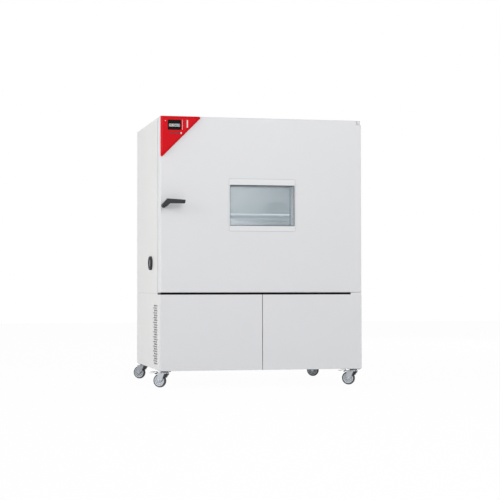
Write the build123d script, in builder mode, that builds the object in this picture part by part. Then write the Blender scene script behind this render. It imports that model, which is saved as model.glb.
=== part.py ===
from build123d import *
import os
from math import cos, radians, sin, sqrt

os.makedirs("parts", exist_ok=True)

# A floor-standing environmental test chamber on castors. Millimetres, +Z up, front towards -Y.
# The origin lies on the floor under the middle of the whole outline, handle and castors included.

# Cabinet
castor_height = 125
panel_split = 694
gutter_opening = 16
panel_seam = 2
panel_sheet = 2
panel_return = 15
service_panel_depth = 25
service_panel_seam = 5

# Door
door_thickness = 105
door_sheet = 2
door_edge_radius = 6
gasket_gap = 12
gasket_width = 25
gasket_lip_clearance = 0.5
gasket_outside_opening = 15

# Test space
chamber_width = 1200
chamber_height = 1020
usable_depth = 600
plenum_depth = 153
liner_sheet = 2
side_wall = 175
floor_wall = 103
roof_wall = 180
rear_insulation = 98
rear_service_space = 82

# Hinges
hinge_nose_radius = 16.5
hinge_setback = 25
hinge_bracket_height = 30
hinge_pin_radius = 6
hinge_pin_length = 30
hinge_flange_sheet = 5
hinge_flange_height = 110
bottom_hinge_width = 85
bottom_hinge_setback = 2
bottom_hinge_corner = 6
bottom_hinge_top_clearance = 1.5
hinge_pin_play = 1
notch_clearance = 1.5
bush_radius = 12
bush_length = 36

# Window
window_width = 508
window_height = 388
window_above_middle = 39
glass_width = 500
glass_height = 306
window_bottom_band = 38
window_frame_proud = 2
reveal_sheet = 2
pane_sheet = 5
pane_count = 3
pane_setback = 6

# Controller
bezel_leg = 313
bezel_proud = 20
bezel_rim = 8
bezel_bevel = 14
bezel_tip_radius = 10
bezel_corner_radius = 3
screen_width = 100
screen_height = 74
screen_left = 52
screen_down = 29
screen_sheet = 3.5
screen_recess = 4
key_width = 10
key_height = 14
key_down = 126
first_key = 79
key_pitch = 20
dark_keys = 4
power_key_place = 152
power_key_width = 10
key_proud = 1.5
key_depth = 6
key_pocket_depth = 8
key_clearance = 0.3
key_rounding = 0.8

# Handle
handle_side_inset = 24
handle_height = 1343
lever_thickness = 30
lever_reach = 151
lever_bar_bottom = 13
lever_bar_top = 48
lever_bar_taper = 8
lever_tip_lean = 4
lever_rounding = 5
handle_edge_radius = 3
handle_standoff = 50
spindle_radius = 5
spindle_play = 1
lever_hub_radius = 14
rosette_radius = 17
rosette_depth = 12
lever_running_gap = 0.3
cam_width = 14
cam_length = 44
cam_sheet = 5
cam_gap = 2
striker_sheet = 3
striker_width = 38
striker_height = 88

# Access port in the left wall
port_depth = 380
port_rise = 119
port_bore = 80
port_wall = 2
port_ring_diameter = 106
port_ring_proud = 18
port_ring_rounding = 4
plug_recess = 8
plug_length = 100

# Vents in the lower side panels
vent_front = 124
vent_columns = 3
vent_column_pitch = 50
vent_row_pitch = 18
vent_bottom = 170
vent_top_gap = 80
vent_slot_length = 40
vent_slot_height = 12

# Castors
castor_side_inset = 45
castor_front_inset = 60
castor_rear_inset = 75
castor_yaw = -34
castor_trail = 40
wheel_radius = 50
wheel_width = 30
hub_radius = 39
axle_radius = 5
castor_plate_size = 84
castor_plate_sheet = 4
castor_plate_corner = 6
raceway_radius = 27
raceway_depth = 6
king_pin_radius = 6
king_pin_length = 17
swivel_gap = 0.3
fork_sheet = 4
fork_side_clearance = 2.5
fork_head_radius = 30
crown_clearance = 3
crown_sheet = 6
crown_width = 48
crown_shift = 2
leg_shoulder_back = 50
fork_eye_radius = 13
fork_head_rounding = 3
axle_nut_radius = 8
axle_nut_height = 5
tyre_crown = 5
hub_boss_radius = 12
hub_boss_proud = 1
hub_web = 20
hub_rim_sheet = 3
hub_rim_recess = 1
hub_draft = 3
pedal_reach = 118
pedal_width = 28
pedal_sheet = 3
pedal_step_back = 74
pedal_step_rise = 10
pedal_step_width = 14
pedal_slope = 12
pedal_boss_radius = 5
pedal_pivot_back = 36
pedal_pivot_up = 106
pedal_pin_radius = 3
pedal_ear_radius = 7

# Machine bay and rear fittings
base_sheet = 3
base_wall = 40
post_size = 40
post_sheet = 3
beam_height = 40
spigot_radius = 8
spigot_reach = 45
gland_bore = 14
running_clearance = 0.05

# Outer sizes, each from the test space and the walls round it
housing_width = chamber_width + 2 * side_wall
housing_depth = (door_thickness + gasket_gap + usable_depth + plenum_depth + rear_insulation
                 + rear_service_space)
door_bottom = panel_split + gutter_opening / 2
service_panel_top = panel_split - gutter_opening / 2
chamber_floor = door_bottom + floor_wall
overall_height = chamber_floor + chamber_height + roof_wall
window_middle = chamber_floor + chamber_height / 2 + window_above_middle
port_height = chamber_floor + port_rise

# Planes of the cabinet
yaw = radians(castor_yaw)
left_overhang = pedal_reach * cos(yaw) - pedal_width / 2 * sin(yaw) - castor_side_inset
front_overhang = handle_standoff + lever_thickness
x_left = (left_overhang - housing_width) / 2
x_right = x_left + housing_width
x_mid = x_left + housing_width / 2
y_front = (front_overhang - spigot_reach - housing_depth) / 2
y_rear = y_front + housing_depth
y_door_back = y_front + door_thickness
y_frame = y_door_back + gasket_gap
y_shell = y_frame + panel_sheet
y_rear_wall = y_frame + usable_depth + plenum_depth
y_insulation_back = y_rear_wall + rear_insulation
z_bottom = castor_height
z_roof = overall_height - panel_sheet
z_ceiling = chamber_floor + chamber_height
z_bay_floor = z_bottom + base_sheet


def front_plane(y):
    """Drawing plane seen from the front: x to the right, z up, normal towards the viewer."""
    return Plane(origin=(0, y, 0), x_dir=(1, 0, 0), z_dir=(0, -1, 0))


def side_plane(x):
    """Drawing plane across the housing: depth to the right, z up, normal towards +X."""
    return Plane(origin=(x, 0, 0), x_dir=(0, 1, 0), z_dir=(1, 0, 0))


def middle(low, high):
    """Half way between two places."""
    return (low + high) / 2


def block(x_low, x_high, y_low, y_high, z_low, z_high, mode=Mode.ADD):
    """A block between six planes, added to the open part."""
    with Locations((middle(x_low, x_high), middle(y_low, y_high), middle(z_low, z_high))):
        Box(x_high - x_low, y_high - y_low, z_high - z_low, mode=mode)


# Base: a folded floor tray, four corner posts and a bearing frame of channels that carries the chamber.
y_tray = y_front + service_panel_depth + panel_sheet
beam_bottom = door_bottom - beam_height
with BuildPart() as floor_tray:
    block(x_left + panel_sheet, x_right - panel_sheet, y_tray, y_rear - panel_sheet,
          z_bottom, z_bottom + base_wall)
    offset(amount=-base_sheet, openings=floor_tray.faces().sort_by(Axis.Z)[-1], kind=Kind.INTERSECTION)

with BuildPart() as corner_posts:
    with BuildSketch(Plane.XY.offset(z_bay_floor)):
        for x, inward in ((x_left + panel_sheet + base_sheet, 1), (x_right - panel_sheet - base_sheet, -1)):
            for y, backward in ((y_shell, 1), (y_insulation_back, -1)):
                Polygon(
                    (x, y),
                    (x + inward * post_size, y),
                    (x + inward * post_size, y + backward * post_sheet),
                    (x + inward * post_sheet, y + backward * post_sheet),
                    (x + inward * post_sheet, y + backward * post_size),
                    (x, y + backward * post_size),
                )
    extrude(amount=beam_bottom - z_bay_floor)


def channel_section(place, z, open_side):
    """C section of a bearing beam, standing on its two lips' side; open_side is 1 or -1."""
    back = place - open_side * post_size / 2
    lip = place + open_side * post_size / 2
    web = back + open_side * post_sheet
    Polygon(
        (back, z),
        (lip, z),
        (lip, z + post_sheet),
        (web, z + post_sheet),
        (web, z + beam_height - post_sheet),
        (lip, z + beam_height - post_sheet),
        (lip, z + beam_height),
        (back, z + beam_height),
    )


with BuildPart() as cross_beams:
    with BuildSketch(side_plane(x_left + panel_sheet)):
        channel_section(y_shell + post_size / 2, beam_bottom, 1)
        channel_section(y_insulation_back - post_size / 2, beam_bottom, -1)
    extrude(amount=housing_width - 2 * panel_sheet)
with BuildPart() as side_beams:
    with BuildSketch(front_plane(y_shell + post_size)):
        channel_section(x_left + panel_sheet + post_size / 2, beam_bottom, 1)
        channel_section(x_right - panel_sheet - post_size / 2, beam_bottom, -1)
    extrude(amount=-(y_insulation_back - y_shell - 2 * post_size))

base_frame = Compound(
    label="base_frame",
    children=floor_tray.solids() + corner_posts.solids() + cross_beams.solids() + side_beams.solids(),
)
export_step(base_frame, "parts/base_frame.step")


# Lower side panels: folded sheets with a front return and a staggered strip of hexagonal slots.
vent_rows = int((panel_split - vent_top_gap - vent_bottom) // vent_row_pitch) + 1


def vent_slots():
    """The slots of one vent strip, as drawn on a side plane."""
    end = vent_slot_length / 2
    rise = vent_slot_height / 2
    for row in range(vent_rows):
        first = y_front + vent_front + end + vent_column_pitch / 2 * (row % 2)
        z = vent_bottom + row * vent_row_pitch
        for column in range(vent_columns):
            y = first + column * vent_column_pitch
            Polygon(
                (y - end, z),
                (y - end + rise, z - rise),
                (y + end - rise, z - rise),
                (y + end, z),
                (y + end - rise, z + rise),
                (y - end + rise, z + rise),
            )


y_side_panel = y_front + service_panel_depth
lower_panel_top = panel_split - panel_seam / 2
upper_panel_bottom = panel_split + panel_seam / 2
with BuildPart() as lower_side_panels:
    for x, return_x in ((x_left, x_left), (x_right - panel_sheet, x_right - panel_return)):
        with BuildSketch(side_plane(x)):
            Polygon(
                (y_side_panel, z_bottom),
                (y_rear - panel_sheet, z_bottom),
                (y_rear - panel_sheet, lower_panel_top),
                (y_shell, lower_panel_top),
                (y_shell, service_panel_top),
                (y_side_panel, service_panel_top),
            )
        extrude(amount=panel_sheet)
        block(return_x, return_x + panel_return, y_side_panel, y_side_panel + panel_sheet,
              z_bottom, service_panel_top)
        with BuildSketch(side_plane(x)):
            vent_slots()
        extrude(amount=panel_sheet, mode=Mode.SUBTRACT)
lower_side_panels.part.label = "lower_side_panels"
export_step(lower_side_panels.part, "parts/lower_side_panels.step")

# Service panels: two trays side by side under the door, their fronts flush with it.
service_width = (housing_width - service_panel_seam) / 2
with BuildPart() as service_panels:
    with BuildSketch(front_plane(y_front)):
        with Locations((x_left + service_width / 2, middle(z_bottom, service_panel_top)),
                       (x_right - service_width / 2, middle(z_bottom, service_panel_top))):
            Rectangle(service_width, service_panel_top - z_bottom)
    extrude(amount=-service_panel_depth)
    rims = service_panels.edges().filter_by(GeomType.LINE).group_by(Axis.Y)[0]
    fillet(rims, radius=panel_sheet / 2)
    with BuildSketch(front_plane(y_front + panel_sheet)):
        with Locations((x_left + service_width / 2, middle(z_bottom, service_panel_top)),
                       (x_right - service_width / 2, middle(z_bottom, service_panel_top))):
            Rectangle(service_width - 2 * panel_sheet, service_panel_top - z_bottom - 2 * panel_sheet)
    extrude(amount=-service_panel_depth, mode=Mode.SUBTRACT)
service_panels.part.label = "service_panels"
export_step(service_panels.part, "parts/service_panels.step")

# Gutter under the door: a black trough that closes the gap at the back and at both ends.
gutter_sheet = 3
gutter_setback = 4
gutter_end_gap = 1
gutter_door_gap = 2
gutter_front = y_front + gutter_setback
gutter_left = x_left + gutter_end_gap
gutter_right = x_right - bottom_hinge_width - gutter_end_gap
gutter_wall_top = door_bottom - gutter_door_gap
with BuildPart() as drip_gutter:
    block(gutter_left, gutter_right, gutter_front, y_frame, service_panel_top, service_panel_top + gutter_sheet)
    block(gutter_left, gutter_right, y_frame - gutter_sheet, y_frame, service_panel_top, gutter_wall_top)
    for x in (gutter_left, gutter_right - gutter_sheet):
        block(x, x + gutter_sheet, gutter_front, y_frame, service_panel_top, gutter_wall_top)
drip_gutter.part.label = "drip_gutter"
export_step(drip_gutter.part, "parts/drip_gutter.step")

# Front frame: the sheet-metal face that the door closes on, with the mouth of the test space.
with BuildPart() as front_frame:
    with BuildSketch(front_plane(y_frame)):
        with Locations((x_mid, middle(service_panel_top, z_roof))):
            Rectangle(housing_width, z_roof - service_panel_top)
        with Locations((x_mid, middle(chamber_floor, z_ceiling))):
            Rectangle(chamber_width, chamber_height, mode=Mode.SUBTRACT)
    extrude(amount=-panel_sheet)
front_frame.part.label = "front_frame"
export_step(front_frame.part, "parts/front_frame.step")

# Upper side panels; the left one has the hole of the access port.
y_port = y_front + port_depth
sleeve_radius = port_bore / 2 + port_wall
with BuildPart() as upper_side_panels:
    for x in (x_left, x_right - panel_sheet):
        block(x, x + panel_sheet, y_shell, y_rear - panel_sheet, upper_panel_bottom, z_roof)
    with BuildSketch(side_plane(x_left)):
        with Locations((y_port, port_height)):
            Circle(sleeve_radius)
    extrude(amount=panel_sheet, mode=Mode.SUBTRACT)
upper_side_panels.part.label = "upper_side_panels"
export_step(upper_side_panels.part, "parts/upper_side_panels.step")

# Roof panel
with BuildPart() as top_panel:
    block(x_left, x_right, y_frame, y_rear, z_roof, overall_height)
    roof_rim = top_panel.edges().group_by(Axis.Z)[-1]
    fillet(roof_rim, radius=panel_sheet / 2)
top_panel.part.label = "top_panel"
export_step(top_panel.part, "parts/top_panel.step")

# Rear panels: the upper one covers the fan motors, the lower one has the condenser's air outlet.
outlet_columns = 3
outlet_rows = 10
outlet_slot_length = 120
outlet_slot_height = 10
outlet_column_pitch = 150
outlet_row_pitch = 30
condenser_offset = 330
condenser_place = x_mid + condenser_offset
condenser_width = 460
condenser_head_room = 34
condenser_block_height = beam_bottom - condenser_head_room - z_bay_floor
condenser_height = z_bay_floor + condenser_block_height / 2
spigot_inset = 255
spigot_place = x_left + spigot_inset
fittings_height = 240
gland_pitch = 120
gland_place = spigot_place + gland_pitch
gland_thread_radius = 10
with BuildPart() as rear_panels:
    block(x_left, x_right, y_rear - panel_sheet, y_rear, upper_panel_bottom, z_roof)
    block(x_left, x_right, y_rear - panel_sheet, y_rear, z_bottom, lower_panel_top)
    with BuildSketch(front_plane(y_rear)):
        with Locations((condenser_place, condenser_height)):
            with GridLocations(outlet_column_pitch, outlet_row_pitch, outlet_columns, outlet_rows):
                Rectangle(outlet_slot_length, outlet_slot_height)
        with Locations((spigot_place, fittings_height)):
            Circle(spigot_radius)
        with Locations((gland_place, fittings_height)):
            Circle(gland_thread_radius)
    extrude(amount=panel_sheet, mode=Mode.SUBTRACT)
rear_panels.part.label = "rear_panels"
export_step(rear_panels.part, "parts/rear_panels.step")

# Inner chamber: a welded stainless tank, open towards the door.
fan_height = middle(chamber_floor, z_ceiling)
fan_offset = 300
shaft_radius = 8
shaft_air_gap = 4
shaft_hole = shaft_radius + shaft_air_gap
steam_pipe_radius = 14
steam_side_gap = 120
steam_wall_gap = 60
x_steam = x_mid - chamber_width / 2 + steam_side_gap
y_steam = y_rear_wall - steam_wall_gap
with BuildPart() as chamber_liner:
    block(x_mid - chamber_width / 2 - liner_sheet, x_mid + chamber_width / 2 + liner_sheet,
          y_shell, y_rear_wall, chamber_floor - liner_sheet, z_ceiling + liner_sheet)
    offset(amount=-liner_sheet, openings=chamber_liner.faces().sort_by(Axis.Y)[0], kind=Kind.INTERSECTION)
    with BuildSketch(front_plane(y_rear_wall)):
        with Locations((x_mid - fan_offset, fan_height), (x_mid + fan_offset, fan_height)):
            Circle(shaft_hole)
    extrude(amount=liner_sheet, mode=Mode.SUBTRACT)
    with BuildSketch(side_plane(x_mid - chamber_width / 2 - liner_sheet)):
        with Locations((y_port, port_height)):
            Circle(sleeve_radius)
    extrude(amount=liner_sheet, mode=Mode.SUBTRACT)
    with BuildSketch(Plane.XY.offset(chamber_floor - liner_sheet)):
        with Locations((x_steam, y_steam)):
            Circle(steam_pipe_radius)
    extrude(amount=liner_sheet, mode=Mode.SUBTRACT)
chamber_liner.part.label = "chamber_liner"
export_step(chamber_liner.part, "parts/chamber_liner.step")

# Insulation between the tank and the outer panels
with BuildPart() as chamber_insulation:
    block(x_left + panel_sheet, x_right - panel_sheet, y_shell, y_insulation_back, door_bottom, z_roof)
    block(x_mid - chamber_width / 2 - liner_sheet, x_mid + chamber_width / 2 + liner_sheet,
          y_shell, y_rear_wall, chamber_floor - liner_sheet, z_ceiling + liner_sheet, mode=Mode.SUBTRACT)
    with BuildSketch(front_plane(y_insulation_back)):
        with Locations((x_mid - fan_offset, fan_height), (x_mid + fan_offset, fan_height)):
            Circle(shaft_hole)
    extrude(amount=rear_insulation, mode=Mode.SUBTRACT)
    with BuildSketch(side_plane(x_left)):
        with Locations((y_port, port_height)):
            Circle(sleeve_radius)
    extrude(amount=x_mid - chamber_width / 2 - x_left, mode=Mode.SUBTRACT)
    with BuildSketch(Plane.XY.offset(door_bottom)):
        with Locations((x_steam, y_steam)):
            Circle(steam_pipe_radius)
    extrude(amount=chamber_floor - liner_sheet - door_bottom, mode=Mode.SUBTRACT)
chamber_insulation.part.label = "chamber_insulation"
export_step(chamber_insulation.part, "parts/chamber_insulation.step")

# Air baffle: a tray across the tank that stands on the rear wall and leaves air slots above and below.
baffle_slot = 45
baffle_sheet = 2
y_baffle = y_frame + usable_depth
inlet_radius = 120
inlet_bars = 9
inlet_bar_height = 12
inlet_pitch = 24
with BuildPart() as air_baffle:
    with BuildSketch(front_plane(y_baffle)):
        with Locations((x_mid, fan_height)):
            Rectangle(chamber_width, chamber_height - 2 * baffle_slot)
        for x in (x_mid - fan_offset, x_mid + fan_offset):
            for bar in range(inlet_bars):
                rise = (bar - (inlet_bars - 1) / 2) * inlet_pitch
                half_chord = sqrt(inlet_radius**2 - rise**2)
                with Locations((x, fan_height + rise)):
                    SlotOverall(2 * half_chord, inlet_bar_height, mode=Mode.SUBTRACT)
    extrude(amount=-baffle_sheet)
    for x in (x_mid - chamber_width / 2, x_mid + chamber_width / 2 - baffle_sheet):
        block(x, x + baffle_sheet, y_baffle, y_rear_wall - liner_sheet,
              chamber_floor + baffle_slot, z_ceiling - baffle_slot)
air_baffle.part.label = "air_baffle"
export_step(air_baffle.part, "parts/air_baffle.step")

# Circulation fans: backward-curved impellers whose shafts pass through the rear wall.
impeller_radius = 105
impeller_eye = 62
impeller_depth = 55
impeller_sheet = 3
blade_count = 9
blade_sheet = 3
blade_lean = 38
blade_length = 49
impeller_hub_radius = 20
impeller_hub_depth = 28
impeller_wall_gap = 22
motor_radius = 55
motor_length = 68
motor_flange_width = 143
motor_flange_sheet = 6
motor_rounding = 8
motor_bore_depth = 30
shaft_end_gap = 1
y_impeller_back = y_rear_wall - liner_sheet - impeller_wall_gap
for side, x in (("left", x_mid - fan_offset), ("right", x_mid + fan_offset)):
    with BuildPart() as circulation_fan:
        wheel_back = front_plane(y_impeller_back)
        wheel_back.origin = Vector(x, y_impeller_back, fan_height)
        with BuildSketch(wheel_back):
            Circle(impeller_radius)
        extrude(amount=impeller_sheet)
        with BuildSketch(wheel_back.offset(impeller_sheet)):
            with PolarLocations(0, blade_count):
                with Locations((middle(impeller_eye, impeller_radius), 0)):
                    Rectangle(blade_length, blade_sheet, rotation=blade_lean)
        extrude(amount=impeller_depth - 2 * impeller_sheet)
        with BuildSketch(wheel_back.offset(impeller_depth - impeller_sheet)):
            Circle(impeller_radius)
            Circle(impeller_eye, mode=Mode.SUBTRACT)
        extrude(amount=impeller_sheet)
        with BuildSketch(wheel_back.offset(impeller_sheet)):
            Circle(impeller_hub_radius)
        extrude(amount=impeller_hub_depth)
        with BuildSketch(wheel_back):
            Circle(shaft_radius)
        extrude(amount=-(y_insulation_back + motor_bore_depth - shaft_end_gap - y_impeller_back))
    circulation_fan.part.label = f"circulation_fan_{side}"
    export_step(circulation_fan.part, f"parts/circulation_fan_{side}.step")

# Fan motors on the back of the insulation
with BuildPart() as fan_motors:
    for x in (x_mid - fan_offset, x_mid + fan_offset):
        motor_face = front_plane(y_insulation_back)
        motor_face.origin = Vector(x, y_insulation_back, fan_height)
        with BuildSketch(motor_face):
            RectangleRounded(motor_flange_width, motor_flange_width, motor_rounding)
        extrude(amount=-motor_flange_sheet)
        with BuildSketch(motor_face):
            Circle(motor_radius)
        extrude(amount=-motor_length)
        with BuildSketch(motor_face):
            Circle(shaft_radius + running_clearance)
        extrude(amount=-motor_bore_depth, mode=Mode.SUBTRACT)
    motor_ends = fan_motors.edges().filter_by(GeomType.CIRCLE).group_by(Axis.Y)[-1]
    fillet(motor_ends, radius=motor_rounding)
fan_motors.part.label = "fan_motors"
export_step(fan_motors.part, "parts/fan_motors.step")

# Heater: a bent rod on two clips in front of the rear wall, above the fans.
heater_rod_radius = 5
heater_width = 900
heater_runs = 3
heater_pitch = 40
heater_stand_off = 60
heater_below_ceiling = 190
heater_clip_width = 20
heater_clip_reach = 12
z_heater = z_ceiling - heater_below_ceiling
heater_top = z_heater + (heater_runs - 1) * heater_pitch
y_heater = y_rear_wall - liner_sheet - heater_stand_off
with BuildPart() as heater_coil:
    with BuildLine() as heater_route:
        turns = []
        for run in range(heater_runs):
            near, far = (-1, 1) if run % 2 == 0 else (1, -1)
            z = z_heater + run * heater_pitch
            turns.append((x_mid + near * heater_width / 2, y_heater, z))
            turns.append((x_mid + far * heater_width / 2, y_heater, z))
        FilletPolyline(*turns, radius=heater_pitch / 2 - 1)
    with BuildSketch(Plane(origin=turns[0], z_dir=(1, 0, 0))):
        RegularPolygon(heater_rod_radius, 8)
    sweep(path=heater_route.wires()[0])
    for x in (x_mid - heater_width / 3, x_mid + heater_width / 3):
        block(x - heater_clip_width / 2, x + heater_clip_width / 2, y_heater, y_rear_wall - liner_sheet,
              z_heater - heater_clip_reach, heater_top + heater_clip_reach)
heater_coil.part.label = "heater_coil"
export_step(heater_coil.part, "parts/heater_coil.step")


# Finned blocks: the evaporator in the plenum and the condenser in the machine bay
def fin_block_section(width, height, fin_pitch, fin_sheet, core_height):
    """Section across the fins: a core with fins above and below, about the origin."""
    Rectangle(width, core_height)
    with GridLocations(fin_pitch, 0, int(width // fin_pitch), 1):
        Rectangle(fin_sheet, height)


evaporator_width = 960
evaporator_height = 150
evaporator_depth = 60
evaporator_core = 90
evaporator_fin_pitch = 32
evaporator_fin = 4
evaporator_rise = 135
with BuildPart() as evaporator:
    block_face = front_plane(y_rear_wall - liner_sheet)
    block_face.origin = Vector(x_mid, y_rear_wall - liner_sheet, chamber_floor + evaporator_rise)
    with BuildSketch(block_face):
        fin_block_section(evaporator_width, evaporator_height, evaporator_fin_pitch, evaporator_fin,
                          evaporator_core)
    extrude(amount=evaporator_depth)
evaporator.part.label = "evaporator"
export_step(evaporator.part, "parts/evaporator.step")

# Shelf rails: four slotted posts on the side walls and a ledge on each side that carries the shelf.
shelf_rise = 467
shelf_height = chamber_floor + shelf_rise
shelf_bar = 10
post_width = 24
post_depth = 10
post_slot_pitch = 90
post_slot_width = 10
post_slot_height = 20
rail_post_inset = 70
ledge_width = 26
ledge_sheet = 3
shelf_front_gap = 20
shelf_back_gap = 15
cross_bar = 8
rail_clear = 60
rail_bottom = chamber_floor + rail_clear
rail_top = z_ceiling - rail_clear
shelf_front = y_shell + shelf_front_gap
shelf_back = y_baffle - shelf_back_gap
post_count = int((rail_top - rail_bottom) // post_slot_pitch)
ledge_top = shelf_height - shelf_bar / 2
with BuildPart() as shelf_rails:
    for x, inward in ((x_mid - chamber_width / 2, 1), (x_mid + chamber_width / 2, -1)):
        x_post = x + inward * post_depth / 2
        for y in (shelf_front + rail_post_inset, shelf_back - rail_post_inset):
            with Locations((x_post, y, middle(rail_bottom, rail_top))):
                Box(post_depth, post_width, rail_top - rail_bottom)
        x_ledge = x + inward * (post_depth + ledge_width / 2)
        with Locations((x_ledge, middle(shelf_front, shelf_back), ledge_top - ledge_sheet / 2)):
            Box(ledge_width, shelf_back - shelf_front, ledge_sheet)
        x_web = x + inward * (post_depth + ledge_sheet / 2)
        with Locations((x_web, middle(shelf_front, shelf_back), ledge_top - ledge_width / 2)):
            Box(ledge_sheet, shelf_back - shelf_front, ledge_width)
        with BuildSketch(side_plane(x)):
            for y in (shelf_front + rail_post_inset, shelf_back - rail_post_inset):
                with Locations((y, middle(rail_bottom, rail_top))):
                    with GridLocations(0, post_slot_pitch, 1, post_count):
                        Rectangle(post_slot_width, post_slot_height)
        extrude(amount=inward * post_depth, mode=Mode.SUBTRACT)
shelf_rails.part.label = "shelf_rails"
export_step(shelf_rails.part, "parts/shelf_rails.step")

# Wire shelf: a welded frame of bars with two cross bars and a row of wires.
shelf_side_clearance = 2
shelf_wire_radius = 3
shelf_wires = 36
shelf_left = x_mid - chamber_width / 2 + post_depth + ledge_sheet + shelf_side_clearance
shelf_width = chamber_width - 2 * (post_depth + ledge_sheet + shelf_side_clearance)
shelf_run = shelf_back - shelf_front
wire_pitch = (shelf_width - 2 * shelf_bar) / (shelf_wires + 1)
with BuildPart() as wire_shelf:
    with BuildSketch(Plane.XY.offset(shelf_height - shelf_bar / 2)):
        with Locations((x_mid, middle(shelf_front, shelf_back))):
            Rectangle(shelf_width, shelf_run)
            Rectangle(shelf_width - 2 * shelf_bar, shelf_run - 2 * shelf_bar, mode=Mode.SUBTRACT)
            with GridLocations(0, shelf_run / 3, 1, 2):
                Rectangle(shelf_width - shelf_bar, cross_bar)
    extrude(amount=shelf_bar)
    with BuildSketch(front_plane(shelf_front + shelf_bar / 2)):
        for wire in range(shelf_wires):
            with Locations((shelf_left + shelf_bar + (wire + 1) * wire_pitch, shelf_height)):
                RegularPolygon(shelf_wire_radius, 6)
    extrude(amount=-(shelf_run - shelf_bar))
wire_shelf.part.label = "wire_shelf"
export_step(wire_shelf.part, "parts/wire_shelf.step")

# Access port: a flanged sleeve through the left wall and its silicone plug.
x_inner_wall = x_mid - chamber_width / 2
port_axis_plane = side_plane(x_left - port_ring_proud)
port_axis_plane.origin = Vector(x_left - port_ring_proud, y_port, port_height)
with BuildPart() as port_sleeve:
    with BuildSketch(port_axis_plane):
        Circle(port_ring_diameter / 2)
    extrude(amount=port_ring_proud)
    fillet(port_sleeve.edges().group_by(Axis.X)[0], radius=port_ring_rounding)
    with BuildSketch(port_axis_plane.offset(port_ring_proud)):
        Circle(sleeve_radius)
    extrude(amount=x_inner_wall - x_left)
    with BuildSketch(port_axis_plane):
        Circle(port_bore / 2)
    extrude(amount=port_ring_proud + x_inner_wall - x_left, mode=Mode.SUBTRACT)
port_sleeve.part.label = "port_sleeve"
export_step(port_sleeve.part, "parts/port_sleeve.step")

plug_clearance = 0.08
plug_chamfer = 2
plug_groove_width = 6
plug_groove_pitch = 24
plug_groove_length = 40
plug_groove_depth = 8
plug_face = port_axis_plane.offset(plug_recess)
with BuildPart() as port_plug:
    with BuildSketch(plug_face):
        Circle(port_bore / 2 - plug_clearance)
    extrude(amount=plug_length)
    chamfer(port_plug.edges().group_by(Axis.X)[0], length=plug_chamfer)
    with BuildSketch(plug_face):
        with GridLocations(plug_groove_pitch, 0, 2, 1):
            SlotOverall(plug_groove_length, plug_groove_width, rotation=90)
    extrude(amount=plug_groove_depth, mode=Mode.SUBTRACT)
port_plug.part.label = "port_plug"
export_step(port_plug.part, "parts/port_plug.step")

# Hinge brackets: each has a rounded arm over the pivot, a flange on the front frame and a pin.
x_hinge = x_right - hinge_nose_radius
y_hinge = y_front + hinge_setback
top_arm_bottom = overall_height - hinge_bracket_height
bottom_arm_top = door_bottom - bottom_hinge_top_clearance
bottom_pin_top = door_bottom + hinge_pin_length
bottom_hinge_front = y_front + bottom_hinge_setback
with BuildPart() as hinge_brackets:
    with BuildSketch(Plane.XY.offset(top_arm_bottom)):
        with Locations((x_hinge, y_hinge)):
            Circle(hinge_nose_radius)
        with Locations((x_hinge, middle(y_hinge, y_frame))):
            Rectangle(2 * hinge_nose_radius, y_frame - y_hinge)
    extrude(amount=hinge_bracket_height)
    block(x_hinge - hinge_nose_radius, x_right, y_frame - hinge_flange_sheet, y_frame,
          overall_height - hinge_flange_height, overall_height)
    with Locations((x_hinge, y_hinge, top_arm_bottom - hinge_pin_length / 2)):
        Cylinder(hinge_pin_radius, hinge_pin_length)
    with BuildSketch(Plane.XY.offset(service_panel_top)):
        with Locations((x_right - bottom_hinge_width / 2, middle(bottom_hinge_front, y_frame))):
            RectangleRounded(bottom_hinge_width, y_frame - bottom_hinge_front, bottom_hinge_corner)
        with Locations((x_right - bottom_hinge_width / 2, y_frame - bottom_hinge_corner)):
            Rectangle(bottom_hinge_width, 2 * bottom_hinge_corner)
    extrude(amount=bottom_arm_top - service_panel_top)
    block(x_hinge - hinge_nose_radius, x_right, y_frame - hinge_flange_sheet, y_frame,
          service_panel_top, service_panel_top + hinge_flange_height)
    with Locations((x_hinge, y_hinge, middle(service_panel_top, bottom_pin_top))):
        Cylinder(hinge_pin_radius, bottom_pin_top - service_panel_top)
hinge_brackets.part.label = "hinge_brackets"
export_step(hinge_brackets.part, "parts/hinge_brackets.step")

# Door: an outer pan with a notch for the top bracket, and a bush at each pin.
notch_width = 2 * hinge_nose_radius + notch_clearance
notch_height = hinge_bracket_height + notch_clearance
notch_floor = overall_height - notch_height
glass_bottom = window_middle - window_height / 2 + window_bottom_band
glass_middle = glass_bottom + glass_height / 2
x_spindle = x_left + handle_side_inset


def door_outline(inset):
    """The door seen from the front, drawn in from its edges by inset."""
    Polygon(
        (x_left + inset, door_bottom + inset),
        (x_right - inset, door_bottom + inset),
        (x_right - inset, notch_floor - inset),
        (x_right - notch_width - inset, notch_floor - inset),
        (x_right - notch_width - inset, overall_height - inset),
        (x_left + inset, overall_height - inset),
    )


def window_opening(margin):
    """The opening of the window, larger than the glass by margin on each side."""
    with Locations((x_mid, glass_middle)):
        Rectangle(glass_width + 2 * margin, glass_height + 2 * margin, mode=Mode.SUBTRACT)


def spindle_hole(clearance):
    """The hole of the handle's spindle."""
    with Locations((x_spindle, handle_height)):
        Circle(spindle_radius + clearance, mode=Mode.SUBTRACT)


pan_depth = door_thickness - door_sheet
with BuildPart() as door_cavity:
    with BuildSketch(front_plane(y_front + door_sheet)):
        door_outline(door_sheet)
    extrude(amount=-(pan_depth - door_sheet))
    fillet(door_cavity.edges().group_by(Axis.Y)[0], radius=door_edge_radius - door_sheet)

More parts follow.
